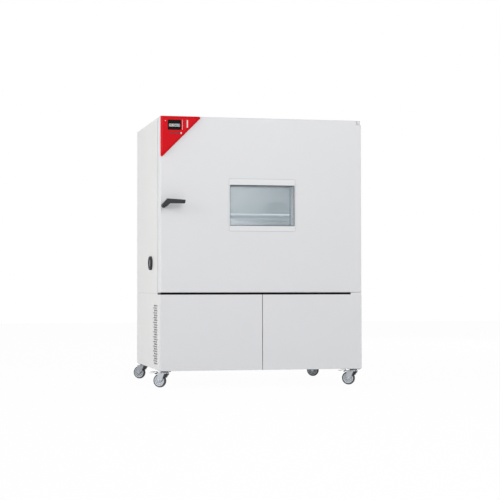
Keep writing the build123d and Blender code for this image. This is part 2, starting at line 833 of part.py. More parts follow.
with BuildPart() as door_skin:
    with BuildSketch(front_plane(y_front)):
        door_outline(0)
    extrude(amount=-pan_depth)
    fillet(door_skin.edges().group_by(Axis.Y)[0], radius=door_edge_radius)
    add(door_cavity.part, mode=Mode.SUBTRACT)
    with BuildSketch(front_plane(y_front)):
        with Locations((x_mid, glass_middle)):
            Rectangle(glass_width + 2 * reveal_sheet, glass_height + 2 * reveal_sheet)
        with Locations((x_spindle, handle_height)):
            Circle(spindle_radius + spindle_play)
    extrude(amount=-2 * door_sheet, mode=Mode.SUBTRACT)
    with Locations((x_hinge, y_hinge, notch_floor - door_sheet / 2),
                   (x_hinge, y_hinge, door_bottom + door_sheet / 2)):
        Cylinder(hinge_pin_radius + hinge_pin_play, 2 * door_sheet, mode=Mode.SUBTRACT)
door_skin.part.label = "door_skin"
export_step(door_skin.part, "parts/door_skin.step")

with BuildPart() as door_liner:
    with BuildSketch(front_plane(y_door_back)):
        door_outline(0)
        window_opening(reveal_sheet)
        spindle_hole(spindle_play)
    extrude(amount=door_sheet)
door_liner.part.label = "door_liner"
export_step(door_liner.part, "parts/door_liner.step")

bush_bottoms = (notch_floor - door_sheet - bush_length, door_bottom + door_sheet)
with BuildPart() as door_insulation:
    with BuildSketch(front_plane(y_front + door_sheet)):
        door_outline(door_sheet)
        window_opening(reveal_sheet)
        spindle_hole(3 * spindle_play)
    extrude(amount=-(door_thickness - 2 * door_sheet))
    rim = door_insulation.edges().filter_by(GeomType.LINE).group_by(Axis.Y)[0]
    outer_rim = rim.filter_by(lambda e: abs(e.center().X - x_mid) > glass_width or
                              abs(e.center().Z - glass_middle) > glass_height)
    chamfer(outer_rim, length=door_edge_radius - door_sheet)
    for z in bush_bottoms:
        with BuildSketch(Plane.XY.offset(z)):
            with Locations((x_hinge, y_hinge)):
                Circle(bush_radius)
        extrude(amount=bush_length, mode=Mode.SUBTRACT)
door_insulation.part.label = "door_insulation"
export_step(door_insulation.part, "parts/door_insulation.step")

with BuildPart() as hinge_bushes:
    for z in bush_bottoms:
        with BuildSketch(Plane.XY.offset(z)):
            with Locations((x_hinge, y_hinge)):
                Circle(bush_radius)
                Circle(hinge_pin_radius + running_clearance, mode=Mode.SUBTRACT)
        extrude(amount=bush_length)
hinge_bushes.part.label = "hinge_bushes"
export_step(hinge_bushes.part, "parts/hinge_bushes.step")

gasket_lip_chamfer = 5
gasket_inner_width = chamber_width + 2 * gasket_outside_opening
gasket_inner_height = chamber_height + 2 * gasket_outside_opening
with BuildPart() as door_gasket:
    with BuildSketch(front_plane(y_door_back)):
        with Locations((x_mid, fan_height)):
            RectangleRounded(gasket_inner_width + 2 * gasket_width, gasket_inner_height + 2 * gasket_width,
                             gasket_width)
            Rectangle(gasket_inner_width, gasket_inner_height, mode=Mode.SUBTRACT)
    extrude(amount=-(gasket_gap - gasket_lip_clearance))
    lip = door_gasket.edges().filter_by(GeomType.LINE).group_by(Axis.Y)[-1]
    chamfer(lip, length=gasket_lip_chamfer)
door_gasket.part.label = "door_gasket"
export_step(door_gasket.part, "parts/door_gasket.step")

# Window: a flat frame on the door's face with a tunnel through the door, and the panes in it.
with BuildPart() as window_frame:
    with BuildSketch(front_plane(y_front)):
        with Locations((x_mid, window_middle)):
            Rectangle(window_width, window_height)
        window_opening(0)
    extrude(amount=window_frame_proud)
    with BuildSketch(front_plane(y_front)):
        with Locations((x_mid, glass_middle)):
            Rectangle(glass_width + 2 * reveal_sheet, glass_height + 2 * reveal_sheet)
        window_opening(0)
    extrude(amount=-door_thickness)
window_frame.part.label = "window_frame"
export_step(window_frame.part, "parts/window_frame.step")

pane_pitch = (door_thickness - 2 * pane_setback - pane_sheet) / (pane_count - 1)
with BuildPart() as window_panes:
    for pane in range(pane_count):
        with BuildSketch(front_plane(y_front + pane_setback + pane * pane_pitch)):
            with Locations((x_mid, glass_middle)):
                Rectangle(glass_width, glass_height)
        extrude(amount=-pane_sheet)
window_panes.part.label = "window_panes"
export_step(window_panes.part, "parts/window_panes.step")


# Controller: a three-cornered bezel in the door's upper left corner, with a bevel all round.
def bezel_outline(inset, y):
    """The bezel's face at depth y, drawn in by inset; its two sharp tips are well rounded."""
    leg = bezel_leg - inset * (2 + sqrt(2))
    left = x_left + inset
    top = overall_height - inset
    with BuildSketch(front_plane(y)) as outline:
        Polygon((left, top - leg), (left + leg, top), (left, top))
        tips = outline.vertices().sort_by_distance((left, top, 0))[1:]
        fillet(tips, radius=bezel_tip_radius)
        corner = outline.vertices().sort_by_distance((left, top, 0))[0]
        fillet(corner, radius=bezel_corner_radius)
    return outline.sketch.faces()[0]


y_bezel_face = y_front - bezel_proud
screen_x = x_left + screen_left + screen_width / 2
screen_z = overall_height - screen_down - screen_height / 2
key_z = overall_height - key_down
key_xs = [x_left + first_key + number * key_pitch for number in range(dark_keys)]
x_power_key = x_left + power_key_place
bezel_back = bezel_outline(0, y_front)
bezel_rim_line = bezel_outline(0, y_front - bezel_rim)
bezel_front = bezel_outline(bezel_bevel, y_bezel_face)
with BuildPart() as controller_bezel:
    extrude(bezel_back, amount=bezel_rim)
    loft([bezel_rim_line, bezel_front], ruled=True)
    with BuildSketch(front_plane(y_bezel_face)):
        with Locations((screen_x, screen_z)):
            Rectangle(screen_width + 2 * key_clearance, screen_height + 2 * key_clearance)
    extrude(amount=-screen_recess, mode=Mode.SUBTRACT)
    with BuildSketch(front_plane(y_bezel_face)):
        for x in key_xs:
            with Locations((x, key_z)):
                Rectangle(key_width + 2 * key_clearance, key_height + 2 * key_clearance)
        with Locations((x_power_key, key_z)):
            Rectangle(power_key_width + 2 * key_clearance, key_height + 2 * key_clearance)
    extrude(amount=-key_pocket_depth, mode=Mode.SUBTRACT)
controller_bezel.part.label = "controller_bezel"
export_step(controller_bezel.part, "parts/controller_bezel.step")

with BuildPart() as display_screen:
    with BuildSketch(front_plane(y_bezel_face + screen_recess)):
        with Locations((screen_x, screen_z)):
            Rectangle(screen_width, screen_height)
    extrude(amount=screen_sheet)
display_screen.part.label = "display_screen"
export_step(display_screen.part, "parts/display_screen.step")

keys = [(f"menu_key_{number + 1}", x, key_width) for number, x in enumerate(key_xs)]
keys.append(("power_key", x_power_key, power_key_width))
for name, x, width in keys:
    with BuildPart() as key:
        with BuildSketch(front_plane(y_bezel_face + key_depth)):
            with Locations((x, key_z)):
                Rectangle(width, key_height)
        extrude(amount=key_depth + key_proud)
        fillet(key.edges().group_by(Axis.Y)[0], radius=key_rounding)
    key.part.label = name
    export_step(key.part, f"parts/{name}.step")

# Handle: a rosette on the door and an elbow lever whose spindle goes through the door to the latch cam.
with BuildPart() as handle_rosette:
    with BuildSketch(front_plane(y_front)):
        with Locations((x_spindle, handle_height)):
            Circle(rosette_radius)
            Circle(spindle_radius + running_clearance, mode=Mode.SUBTRACT)
    extrude(amount=rosette_depth)
    fillet(handle_rosette.edges().filter_by(GeomType.CIRCLE).group_by(Axis.Y)[0].sort_by(SortBy.RADIUS)[-1],
           radius=handle_edge_radius)
handle_rosette.part.label = "handle_rosette"
export_step(handle_rosette.part, "parts/handle_rosette.step")

lever_back = y_front - handle_standoff
hub_back = y_front - rosette_depth - lever_running_gap
cam_front = y_door_back + cam_gap
with BuildPart() as handle_lever:
    grip = front_plane(lever_back)
    grip.origin = Vector(x_spindle, lever_back, handle_height)
    with BuildSketch(grip) as lever_outline:
        heel = (-19, 9)
        toe = (7, -14)
        inner_elbow = (36, lever_bar_bottom)
        tip_bottom = (lever_reach - lever_tip_lean, lever_bar_bottom)
        tip_top = (lever_reach, lever_bar_top - lever_bar_taper)
        outer_elbow = (14, lever_bar_top)
        Polygon(heel, toe, inner_elbow, tip_bottom, tip_top, outer_elbow)
        fillet(lever_outline.vertices(), radius=lever_rounding)
    extrude(amount=lever_thickness)
    fillet(handle_lever.edges().group_by(Axis.Y)[0], radius=handle_edge_radius)
    with BuildSketch(grip):
        Circle(lever_hub_radius)
    extrude(amount=-(hub_back - lever_back))
    with BuildSketch(grip):
        Circle(spindle_radius)
    extrude(amount=-(cam_front + cam_sheet - lever_back))
    with BuildSketch(front_plane(cam_front)):
        with Locations((x_spindle, handle_height + cam_length / 2 - cam_width / 2)):
            SlotOverall(cam_length, cam_width, rotation=90)
    extrude(amount=-cam_sheet)
handle_lever.part.label = "handle_lever"
export_step(handle_lever.part, "parts/handle_lever.step")

# Strike plate on the front frame, behind the cam
with BuildPart() as latch_striker:
    with BuildSketch(front_plane(y_frame)):
        with Locations((x_spindle, handle_height + cam_length / 2)):
            RectangleRounded(striker_width, striker_height, cam_sheet)
    extrude(amount=striker_sheet)
latch_striker.part.label = "latch_striker"
export_step(latch_striker.part, "parts/latch_striker.step")

# Machine bay: two compressors, condenser with its fan, humidifier and electrical box
compressor_radius = 85
compressor_height = 270
compressor_crown = 45
compressor_base_rounding = 25
compressor_foot = 18
compressor_foot_radius = 10
compressor_plate_sheet = 6
compressor_offset = 60
compressor_pitch = 230
compressor_setback = 548
y_compressors = y_front + compressor_setback
with BuildPart() as compressors:
    compressor_xs = (x_mid - compressor_offset - compressor_pitch, x_mid - compressor_offset)
    for x in compressor_xs:
        with Locations((x, y_compressors, z_bay_floor + compressor_foot + compressor_height / 2)):
            Cylinder(compressor_radius, compressor_height)
    fillet(compressors.edges().filter_by(GeomType.CIRCLE).group_by(Axis.Z)[-1], radius=compressor_crown)
    fillet(compressors.edges().filter_by(GeomType.CIRCLE).group_by(Axis.Z)[0], radius=compressor_base_rounding)
    foot_pitch = 2 * (compressor_radius - compressor_foot_radius)
    for x in compressor_xs:
        with Locations((x, y_compressors, z_bay_floor + compressor_foot)):
            Box(2 * compressor_radius, 2 * compressor_radius, compressor_plate_sheet)
            with GridLocations(foot_pitch, foot_pitch, 2, 2):
                with Locations((0, 0, -compressor_foot / 2)):
                    Cylinder(compressor_foot_radius, compressor_foot)
compressors.part.label = "compressors"
export_step(compressors.part, "parts/compressors.step")

condenser_depth = 70
shroud_depth = 60
condenser_core_margin = 30
condenser_fin_pitch = 25
condenser_fin = 4
condenser_exhaust_gap = 12
fan_ring_radius = 190
fan_blade_radius = 182
fan_hub_radius = 48
fan_hub_depth = 34
fan_hub_sink = 4
fan_back_gap = 3
fan_blades = 5
root_width = 44
root_sheet = 4
root_pitch_angle = 42
tip_width = 78
tip_sheet = 2.5
tip_pitch_angle = 66
fan_shaft_radius = 6
fan_motor_radius = 42
fan_motor_length = 40
fan_motor_bore = 28
arm_count = 3
arm_width = 14
arm_sheet = 4
arm_overlap = 12
y_condenser = y_rear - panel_sheet - condenser_exhaust_gap - fan_motor_length - shroud_depth - condenser_depth
y_shroud_back = y_condenser + condenser_depth + shroud_depth
with BuildPart() as condenser_block:
    block_face = front_plane(y_condenser)
    block_face.origin = Vector(condenser_place, y_condenser, condenser_height)
    with BuildSketch(block_face):
        fin_block_section(condenser_width, condenser_block_height, condenser_fin_pitch, condenser_fin,
                          condenser_block_height - 2 * condenser_core_margin)
    extrude(amount=-condenser_depth)
with BuildPart() as condenser_shroud:
    with BuildSketch(block_face.offset(-condenser_depth)):
        Rectangle(condenser_width, condenser_block_height)
    extrude(amount=-shroud_depth)
    offset(amount=-panel_sheet, openings=condenser_shroud.faces().sort_by(Axis.Y)[0], kind=Kind.INTERSECTION)
    with BuildSketch(block_face.offset(-condenser_depth)):
        Circle(fan_ring_radius)
    extrude(amount=-shroud_depth, mode=Mode.SUBTRACT)
    with BuildSketch(block_face.offset(-condenser_depth - shroud_depth)):
        with PolarLocations(0, arm_count):
            with Locations(((fan_ring_radius + arm_overlap) / 2, 0)):
                Rectangle(fan_ring_radius + arm_overlap, arm_width)
        Circle(fan_motor_radius)
    extrude(amount=-arm_sheet)
    with BuildSketch(block_face.offset(-condenser_depth - shroud_depth)):
        Circle(fan_motor_radius)
    extrude(amount=-fan_motor_length)
    with BuildSketch(block_face.offset(-condenser_depth - shroud_depth)):
        Circle(fan_shaft_radius + running_clearance)
    extrude(amount=-fan_motor_bore, mode=Mode.SUBTRACT)
condenser = Compound(label="condenser", children=condenser_block.solids() + condenser_shroud.solids())
export_step(condenser, "parts/condenser.step")

# Condenser fan: twisted blades lofted from the hub to the tip
y_hub_back = y_shroud_back - fan_back_gap
with BuildPart() as condenser_fan:
    hub_face = front_plane(y_hub_back)
    hub_face.origin = Vector(condenser_place, y_hub_back, condenser_height)
    with BuildSketch(hub_face):
        Circle(fan_hub_radius)
    extrude(amount=fan_hub_depth)
    with BuildSketch(hub_face):
        Circle(fan_shaft_radius)
    extrude(amount=-(y_shroud_back - y_hub_back + fan_motor_bore - shaft_end_gap))
    hub_middle = Vector(condenser_place, y_hub_back - fan_hub_depth / 2, condenser_height)
    for blade in range(fan_blades):
        turn = radians(360 / fan_blades * blade)
        outward = Vector(cos(turn), 0, sin(turn))
        root_place = hub_middle + outward * (fan_hub_radius - fan_hub_sink)
        root = Plane(origin=root_place, x_dir=(0, 1, 0), z_dir=outward)
        tip = Plane(origin=hub_middle + outward * fan_blade_radius, x_dir=(0, 1, 0), z_dir=outward)
        with BuildSketch(root):
            Rectangle(root_width, root_sheet, rotation=root_pitch_angle)
        with BuildSketch(tip):
            Rectangle(tip_width, tip_sheet, rotation=tip_pitch_angle)
        loft()
condenser_fan.part.label = "condenser_fan"
export_step(condenser_fan.part, "parts/condenser_fan.step")

humidifier_radius = 75
humidifier_height = 250
humidifier_rounding = 14
steam_pipe_proud = 30
steam_pipe_top = chamber_floor + steam_pipe_proud
with BuildPart() as humidifier:
    with Locations((x_steam, y_steam, z_bay_floor + humidifier_height / 2)):
        Cylinder(humidifier_radius, humidifier_height)
    fillet(humidifier.edges().filter_by(GeomType.CIRCLE), radius=humidifier_rounding)
    with BuildSketch(Plane.XY.offset(z_bay_floor + humidifier_height)):
        with Locations((x_steam, y_steam)):
            Circle(steam_pipe_radius)
    extrude(amount=steam_pipe_top - z_bay_floor - humidifier_height)
humidifier.part.label = "humidifier"
export_step(humidifier.part, "parts/humidifier.step")

switch_box_width = 480
switch_box_height = 420
switch_box_depth = 140
switch_box_offset = 330
switch_box_gap = 20
x_box = x_mid + switch_box_offset
y_box = y_shell + post_size + switch_box_gap
with BuildPart() as switch_box_tray:
    block(x_box - switch_box_width / 2, x_box + switch_box_width / 2, y_box, y_box + switch_box_depth,
          z_bay_floor, z_bay_floor + switch_box_height)
    offset(amount=-panel_sheet, openings=switch_box_tray.faces().sort_by(Axis.Y)[0], kind=Kind.INTERSECTION)
with BuildPart() as switch_box_lid:
    block(x_box - switch_box_width / 2, x_box + switch_box_width / 2, y_box - panel_sheet, y_box,
          z_bay_floor, z_bay_floor + switch_box_height)
electrical_box = Compound(label="electrical_box", children=switch_box_tray.solids() + switch_box_lid.solids())
export_step(electrical_box, "parts/electrical_box.step")

# Rear fittings: a hose spigot for the condensate and a cable gland
spigot_bore_radius = 5
spigot_flange_radius = 16
spigot_flange_sheet = 4
spigot_inside = 30
spigot_face = front_plane(y_rear)
spigot_face.origin = Vector(spigot_place, y_rear, fittings_height)
with BuildPart() as drain_spigot:
    with BuildSketch(spigot_face.offset(panel_sheet + spigot_inside)):
        Circle(spigot_radius)
    extrude(amount=-(spigot_inside + panel_sheet + spigot_reach))
    with BuildSketch(spigot_face):
        RegularPolygon(spigot_flange_radius, 6)
    extrude(amount=-spigot_flange_sheet)
    with BuildSketch(spigot_face.offset(panel_sheet)):
        RegularPolygon(spigot_flange_radius, 6)
    extrude(amount=spigot_flange_sheet)
    with BuildSketch(spigot_face.offset(panel_sheet + spigot_inside)):
        Circle(spigot_bore_radius)
    extrude(amount=-(spigot_inside + panel_sheet + spigot_reach), mode=Mode.SUBTRACT)
drain_spigot.part.label = "drain_spigot"
export_step(drain_spigot.part, "parts/drain_spigot.step")

gland_hex_radius = 16
gland_hex_sheet = 8
gland_dome_radius = 13
gland_dome_length = 14
gland_dome_rounding = 4
gland_inside = 14
gland_face = front_plane(y_rear)
gland_face.origin = Vector(gland_place, y_rear, fittings_height)
with BuildPart() as cable_gland:
    with BuildSketch(gland_face.offset(panel_sheet + gland_inside)):
        Circle(gland_thread_radius)
    extrude(amount=-(gland_inside + panel_sheet))
    with BuildSketch(gland_face):
        RegularPolygon(gland_hex_radius, 6)
    extrude(amount=-gland_hex_sheet)
    with BuildSketch(gland_face.offset(-gland_hex_sheet)):
        Circle(gland_dome_radius)
    extrude(amount=-gland_dome_length)
    fillet(cable_gland.edges().filter_by(GeomType.CIRCLE).group_by(Axis.Y)[-1], radius=gland_dome_rounding)
    with BuildSketch(gland_face.offset(panel_sheet)):
        RegularPolygon(gland_hex_radius, 6)
    extrude(amount=gland_hex_sheet / 2)
    with BuildSketch(gland_face.offset(panel_sheet + gland_inside)):
        Circle(gland_bore / 2)
    extrude(amount=-(gland_inside + panel_sheet + gland_hex_sheet + gland_dome_length), mode=Mode.SUBTRACT)
cable_gland.part.label = "cable_gland"
export_step(cable_gland.part, "parts/cable_gland.step")

# Castors: a bolted plate with its king pin, a swivelling fork, and a wheel of hub and tyre.
castor_places = {
    "front_left": (x_left + castor_side_inset, y_front + castor_front_inset),
    "front_right": (x_right - castor_side_inset, y_front + castor_front_inset),
    "rear_left": (x_left + castor_side_inset, y_rear - castor_rear_inset),
    "rear_right": (x_right - castor_side_inset, y_rear - castor_rear_inset),
}
along = Vector(cos(yaw), sin(yaw), 0)
across = Vector(-sin(yaw), cos(yaw), 0)
plate_bottom = castor_height - castor_plate_sheet
raceway_bottom = plate_bottom - raceway_depth
head_top = raceway_bottom - swivel_gap
crown_bottom = 2 * wheel_radius + crown_clearance
crown_top = crown_bottom + crown_sheet
crown_front = crown_shift + crown_width / 2
leg_offset = wheel_width / 2 + fork_side_clearance
with BuildPart() as castor_plates:
    for x, y in castor_places.values():
        with Locations((x, y, middle(plate_bottom, castor_height))):
            Box(castor_plate_size, castor_plate_size, castor_plate_sheet)
        with Locations((x, y, middle(raceway_bottom, plate_bottom))):
            Cylinder(raceway_radius, raceway_depth)
        with Locations((x, y, raceway_bottom - king_pin_length / 2)):
            Cylinder(king_pin_radius, king_pin_length)
    fillet(castor_plates.edges().filter_by(Axis.Z).filter_by(GeomType.LINE), radius=castor_plate_corner)
castor_plates.part.label = "castor_plates"
export_step(castor_plates.part, "parts/castor_plates.step")


def castor_view(x, y, sideways):
    """Drawing plane beside a castor: forward along its fork to the right, z up, facing -across."""
    return Plane(origin=Vector(x, y, 0) + across * sideways, x_dir=along, z_dir=-across)


def make_fork(name, x, y, braked):
    """The swivelling fork: a round head, a crown and two legs that taper to the axle."""
    with BuildPart() as fork:
        with BuildSketch(Plane.XY.offset(crown_bottom)):
            with Locations((x, y)):
                Circle(fork_head_radius)
        extrude(amount=head_top - crown_bottom)
        fillet(fork.edges().filter_by(GeomType.CIRCLE).group_by(Axis.Z)[-1], radius=fork_head_rounding)
        for sideways in (-leg_offset, leg_offset + fork_sheet):
            with BuildSketch(castor_view(x, y, sideways)):
                with Locations((-castor_trail, wheel_radius)):
                    Circle(fork_eye_radius)
                with Locations((middle(-leg_shoulder_back, crown_front), middle(crown_bottom, crown_top))):
                    Rectangle(crown_front + leg_shoulder_back, crown_sheet)
                make_hull()
                if braked:
                    with Locations((-pedal_pivot_back, pedal_pivot_up)):
                        Circle(pedal_ear_radius)
                    with Locations((-pedal_pivot_back / 2, pedal_pivot_up)):
                        Rectangle(pedal_pivot_back, crown_sheet)
            extrude(amount=fork_sheet)
        with BuildSketch(castor_view(x, y, -leg_offset - fork_sheet)):
            with Locations((crown_shift, middle(crown_bottom, crown_top))):
                Rectangle(crown_width, crown_sheet)
        extrude(amount=-2 * (leg_offset + fork_sheet))
        with BuildSketch(castor_view(x, y, -leg_offset - fork_sheet)):
            with Locations((-castor_trail, wheel_radius)):
                Circle(axle_radius)
        extrude(amount=-2 * (leg_offset + fork_sheet))
        for sideways, outward in ((-leg_offset - fork_sheet, 1), (leg_offset + fork_sheet, -1)):
            with BuildSketch(castor_view(x, y, sideways)):
                with Locations((-castor_trail, wheel_radius)):
                    RegularPolygon(axle_nut_radius, 6)
            extrude(amount=outward * axle_nut_height)
        if braked:
            with BuildSketch(castor_view(x, y, -leg_offset - fork_sheet)):
                with Locations((-pedal_pivot_back, pedal_pivot_up)):
                    Circle(pedal_pin_radius)
            extrude(amount=-2 * (leg_offset + fork_sheet))
        with Locations((x, y, middle(crown_bottom, head_top))):
            Cylinder(king_pin_radius + running_clearance, 2 * (head_top - crown_bottom), mode=Mode.SUBTRACT)
    fork.part.label = f"{name}_fork"
    export_step(fork.part, f"parts/{name}_fork.step")


def make_wheel(name, x, y):
    """The wheel: a crowned rubber tyre on a shallow dished hub, its bore running on the axle."""
    centre = Vector(x, y, wheel_radius) - along * castor_trail
    section = Plane(origin=centre, x_dir=along, z_dir=(0, 0, 1))
    axle = Axis(centre, across)
    half = wheel_width / 2
    shoulder = wheel_radius - tyre_crown
    bore = axle_radius + running_clearance
    boss_face = half + hub_boss_proud
    rim_face = half - hub_rim_recess
    boss_root = hub_boss_radius + hub_draft
    rim_inside = hub_radius - hub_rim_sheet
    rim_root = rim_inside - hub_draft
    with BuildPart() as tyre:
        with BuildSketch(section):
            with BuildLine():
                Line((hub_radius, -half), (shoulder, -half))
                ThreePointArc((shoulder, -half), (wheel_radius, 0), (shoulder, half))
                Polyline((shoulder, half), (hub_radius, half), (hub_radius, -half))
            make_face()
        revolve(axis=axle)
    tyre.part.label = f"{name}_tyre"
    export_step(tyre.part, f"parts/{name}_tyre.step")
    with BuildPart() as hub:
        with BuildSketch(section):
            with BuildLine():
                Polyline(
                    (bore, -boss_face),
                    (hub_boss_radius, -boss_face),
                    (boss_root, -hub_web / 2),
                    (rim_root, -hub_web / 2),
                    (rim_inside, -rim_face),
                    (hub_radius, -rim_face),
                    (hub_radius, rim_face),
                    (rim_inside, rim_face),
                    (rim_root, hub_web / 2),
                    (boss_root, hub_web / 2),
                    (hub_boss_radius, boss_face),
                    (bore, boss_face),
                    close=True,
                )
            make_face()
        revolve(axis=axle)
    hub.part.label = f"{name}_hub"
    export_step(hub.part, f"parts/{name}_hub.step")


def make_pedal(name, x, y):
    """The brake pedal: a bent plate on its pin, with a raised step and a tip to tread on."""
    low = pedal_pivot_up - pedal_sheet / 2
    high = low + pedal_step_rise
    step_near = pedal_step_back - pedal_step_width / 2
    step_far = pedal_step_back + pedal_step_width / 2
    with BuildPart() as pedal:
        with BuildSketch(castor_view(x, y, -pedal_width / 2)) as pedal_side:
            with BuildLine():
                Polyline(
                    (-pedal_pivot_back, low),
                    (pedal_slope - step_near, low),
                    (-step_near, high),
                    (-step_far, high),
                    (-step_far - pedal_slope, low),
                    (-pedal_reach, low),
                    (-pedal_reach, low + pedal_sheet),
                    (-step_far - pedal_slope + pedal_sheet / 2, low + pedal_sheet),
                    (-step_far + pedal_sheet / 2, high + pedal_sheet),
                    (-step_near - pedal_sheet / 2, high + pedal_sheet),
                    (pedal_slope - step_near - pedal_sheet / 2, low + pedal_sheet),
                    (-pedal_pivot_back, low + pedal_sheet),
                    close=True,
                )
            make_face()
            with Locations((-pedal_pivot_back, pedal_pivot_up)):
                Circle(pedal_boss_radius)
                Circle(pedal_pin_radius + running_clearance, mode=Mode.SUBTRACT)
        extrude(amount=-pedal_width)
    pedal.part.label = f"{name}_brake_pedal"
    export_step(pedal.part, f"parts/{name}_brake_pedal.step")


for place, (x, y) in castor_places.items():
    make_fork(place, x, y, place.startswith("front"))
    make_wheel(place, x, y)
    if place.startswith("front"):
        make_pedal(place, x, y)
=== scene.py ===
# %% [markdown]
# A climate cabinet in Blender
#
# This lesson dresses the solid model of a floor-standing environmental test chamber: a wide insulated door with
# a window, a red three-cornered controller panel and a dark lever, on a machine bay that rolls on four castors.
# The solids already stand at their real size. We give every surface its finish and add what a solid model
# leaves out: screws, seals, printed marks, digits and soft edges. Lengths are metres, +Z is up, the door
# faces -Y.

# %% Load the frame
from math import cos, pi, radians, sin, sqrt
import bmesh
import bpy
from mathutils import Matrix, Vector


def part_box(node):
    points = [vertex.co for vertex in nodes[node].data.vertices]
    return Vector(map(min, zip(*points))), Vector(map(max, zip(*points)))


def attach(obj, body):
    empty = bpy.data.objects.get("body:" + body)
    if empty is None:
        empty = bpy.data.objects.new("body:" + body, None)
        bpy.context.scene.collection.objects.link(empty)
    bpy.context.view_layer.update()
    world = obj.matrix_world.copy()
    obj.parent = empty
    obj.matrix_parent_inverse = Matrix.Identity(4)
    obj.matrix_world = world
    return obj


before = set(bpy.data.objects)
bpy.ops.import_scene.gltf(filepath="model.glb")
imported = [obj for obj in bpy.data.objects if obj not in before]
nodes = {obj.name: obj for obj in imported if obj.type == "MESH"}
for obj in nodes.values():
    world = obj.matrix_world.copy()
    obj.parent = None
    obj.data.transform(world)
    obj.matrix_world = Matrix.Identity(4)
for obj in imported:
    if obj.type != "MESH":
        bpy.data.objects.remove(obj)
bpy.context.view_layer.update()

MM = 0.001

# %% [markdown]
# Every place below is worked out from a few planes of the cabinet. Each one is read from the box of the piece
# that sets it, so the dressing follows the solids wherever they are.

# %% Planes of the cabinet
door_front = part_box("door_skin")[0].y
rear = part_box("rear_panels")[1].y
panel_face_low, panel_face_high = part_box("controller_bezel")
panel_front = panel_face_low.y
print("door front at", round(door_front, 4), "rear at", round(rear, 4))

# %% [markdown]
# The photograph shows the front almost square on, from low down and far to the left, against white. A long lens
# far away keeps the front's edges nearly parallel. A small lens shift does part of the work that turning the
# camera would do, and it is small because every other view of the cabinet keeps it.

# %% Camera
camera_place = Vector((-2.4427, -9.7995, 0.771))
camera_lens = 92.5
camera_shift = 0.15
camera_turn = -11.01
camera_tilt = 1.48

camera_data = bpy.data.cameras.new("camera")
camera_data.sensor_width = 36
camera_data.lens = camera_lens
camera_data.shift_x = camera_shift
camera_data.clip_end = 100
camera = bpy.data.objects.new("camera", camera_data)
camera.location = camera_place
camera.rotation_euler = (radians(90 + camera_tilt), 0, radians(camera_turn))
bpy.context.scene.collection.objects.link(camera)
bpy.context.scene.camera = camera
bpy.context.scene.view_settings.view_transform = "Standard"

# %% [markdown]
# Product photographs are cut out on white. The world and the floor therefore look white to the camera, to
# reflections and through glass, while the light that they throw on the cabinet stays at a plain level. The floor
# still takes a share of real shading, so the castors keep a soft contact shadow.


# %% World and floor
def seen_directly(tree):
    """1 for camera, glossy and transmission rays, 0 for rays that carry light to a surface."""
    path = tree.nodes.new("ShaderNodeLightPath")
    both = tree.nodes.new("ShaderNodeMath")
    both.operation = "MAXIMUM"
    tree.links.new(path.outputs["Is Camera Ray"], both.inputs[0])
    tree.links.new(path.outputs["Is Glossy Ray"], both.inputs[1])
    all_three = tree.nodes.new("ShaderNodeMath")
    all_three.operation = "MAXIMUM"
    tree.links.new(both.outputs[0], all_three.inputs[0])
    tree.links.new(path.outputs["Is Transmission Ray"], all_three.inputs[1])
    return all_three.outputs[0]


ambient_light = 0.40
world = bpy.data.worlds.new("studio")
world.use_nodes = True
bpy.context.scene.world = world
world_tree = world.node_tree
world_tree.nodes.clear()
soft_sky = world_tree.nodes.new("ShaderNodeBackground")
soft_sky.inputs["Color"].default_value = (1, 1, 1, 1)
soft_sky.inputs["Strength"].default_value = ambient_light
white_sky = world_tree.nodes.new("ShaderNodeBackground")
white_sky.inputs["Color"].default_value = (1, 1, 1, 1)
white_sky.inputs["Strength"].default_value = 1
sky_mix = world_tree.nodes.new("ShaderNodeMixShader")
world_tree.links.new(seen_directly(world_tree), sky_mix.inputs[0])
world_tree.links.new(soft_sky.outputs[0], sky_mix.inputs[1])
world_tree.links.new(white_sky.outputs[0], sky_mix.inputs[2])
sky_out = world_tree.nodes.new("ShaderNodeOutputWorld")
world_tree.links.new(sky_mix.outputs[0], sky_out.inputs["Surface"])

floor_size = 30
floor_white_share = 0.97
floor_mesh = bpy.data.meshes.new("studio_floor")
half = floor_size / 2
floor_corners = [(-half, -half, 0), (half, -half, 0), (half, half, 0), (-half, half, 0)]
floor_mesh.from_pydata(floor_corners, [], [(0, 1, 2, 3)])
floor = bpy.data.objects.new("studio_floor", floor_mesh)
bpy.context.scene.collection.objects.link(floor)
floor_paint = bpy.data.materials.new("studio_floor")
floor_paint.use_nodes = True
tree = floor_paint.node_tree
tree.nodes.clear()
matt = tree.nodes.new("ShaderNodeBsdfDiffuse")
matt.inputs["Color"].default_value = (0.86, 0.86, 0.86, 1)
glow = tree.nodes.new("ShaderNodeEmission")
glow.inputs["Color"].default_value = (1, 1, 1, 1)
share = tree.nodes.new("ShaderNodeMath")
share.operation = "MULTIPLY"
share.inputs[1].default_value = floor_white_share
tree.links.new(seen_directly(tree), share.inputs[0])
floor_mix = tree.nodes.new("ShaderNodeMixShader")
tree.links.new(share.outputs[0], floor_mix.inputs[0])
tree.links.new(matt.outputs[0], floor_mix.inputs[1])
tree.links.new(glow.outputs[0], floor_mix.inputs[2])
floor_out = tree.nodes.new("ShaderNodeOutputMaterial")
tree.links.new(floor_mix.outputs[0], floor_out.inputs["Surface"])
floor_mesh.materials.append(floor_paint)

# %% [markdown]
# Three large soft boxes: one in front and above, one at the left that makes the side a touch lighter than the
# front, as in the photograph, and a weak one at the back right so that the hidden sides read in other views. Such
# chambers are lit inside, and two small lamps stand in for that: one under the ceiling, one beside the window.


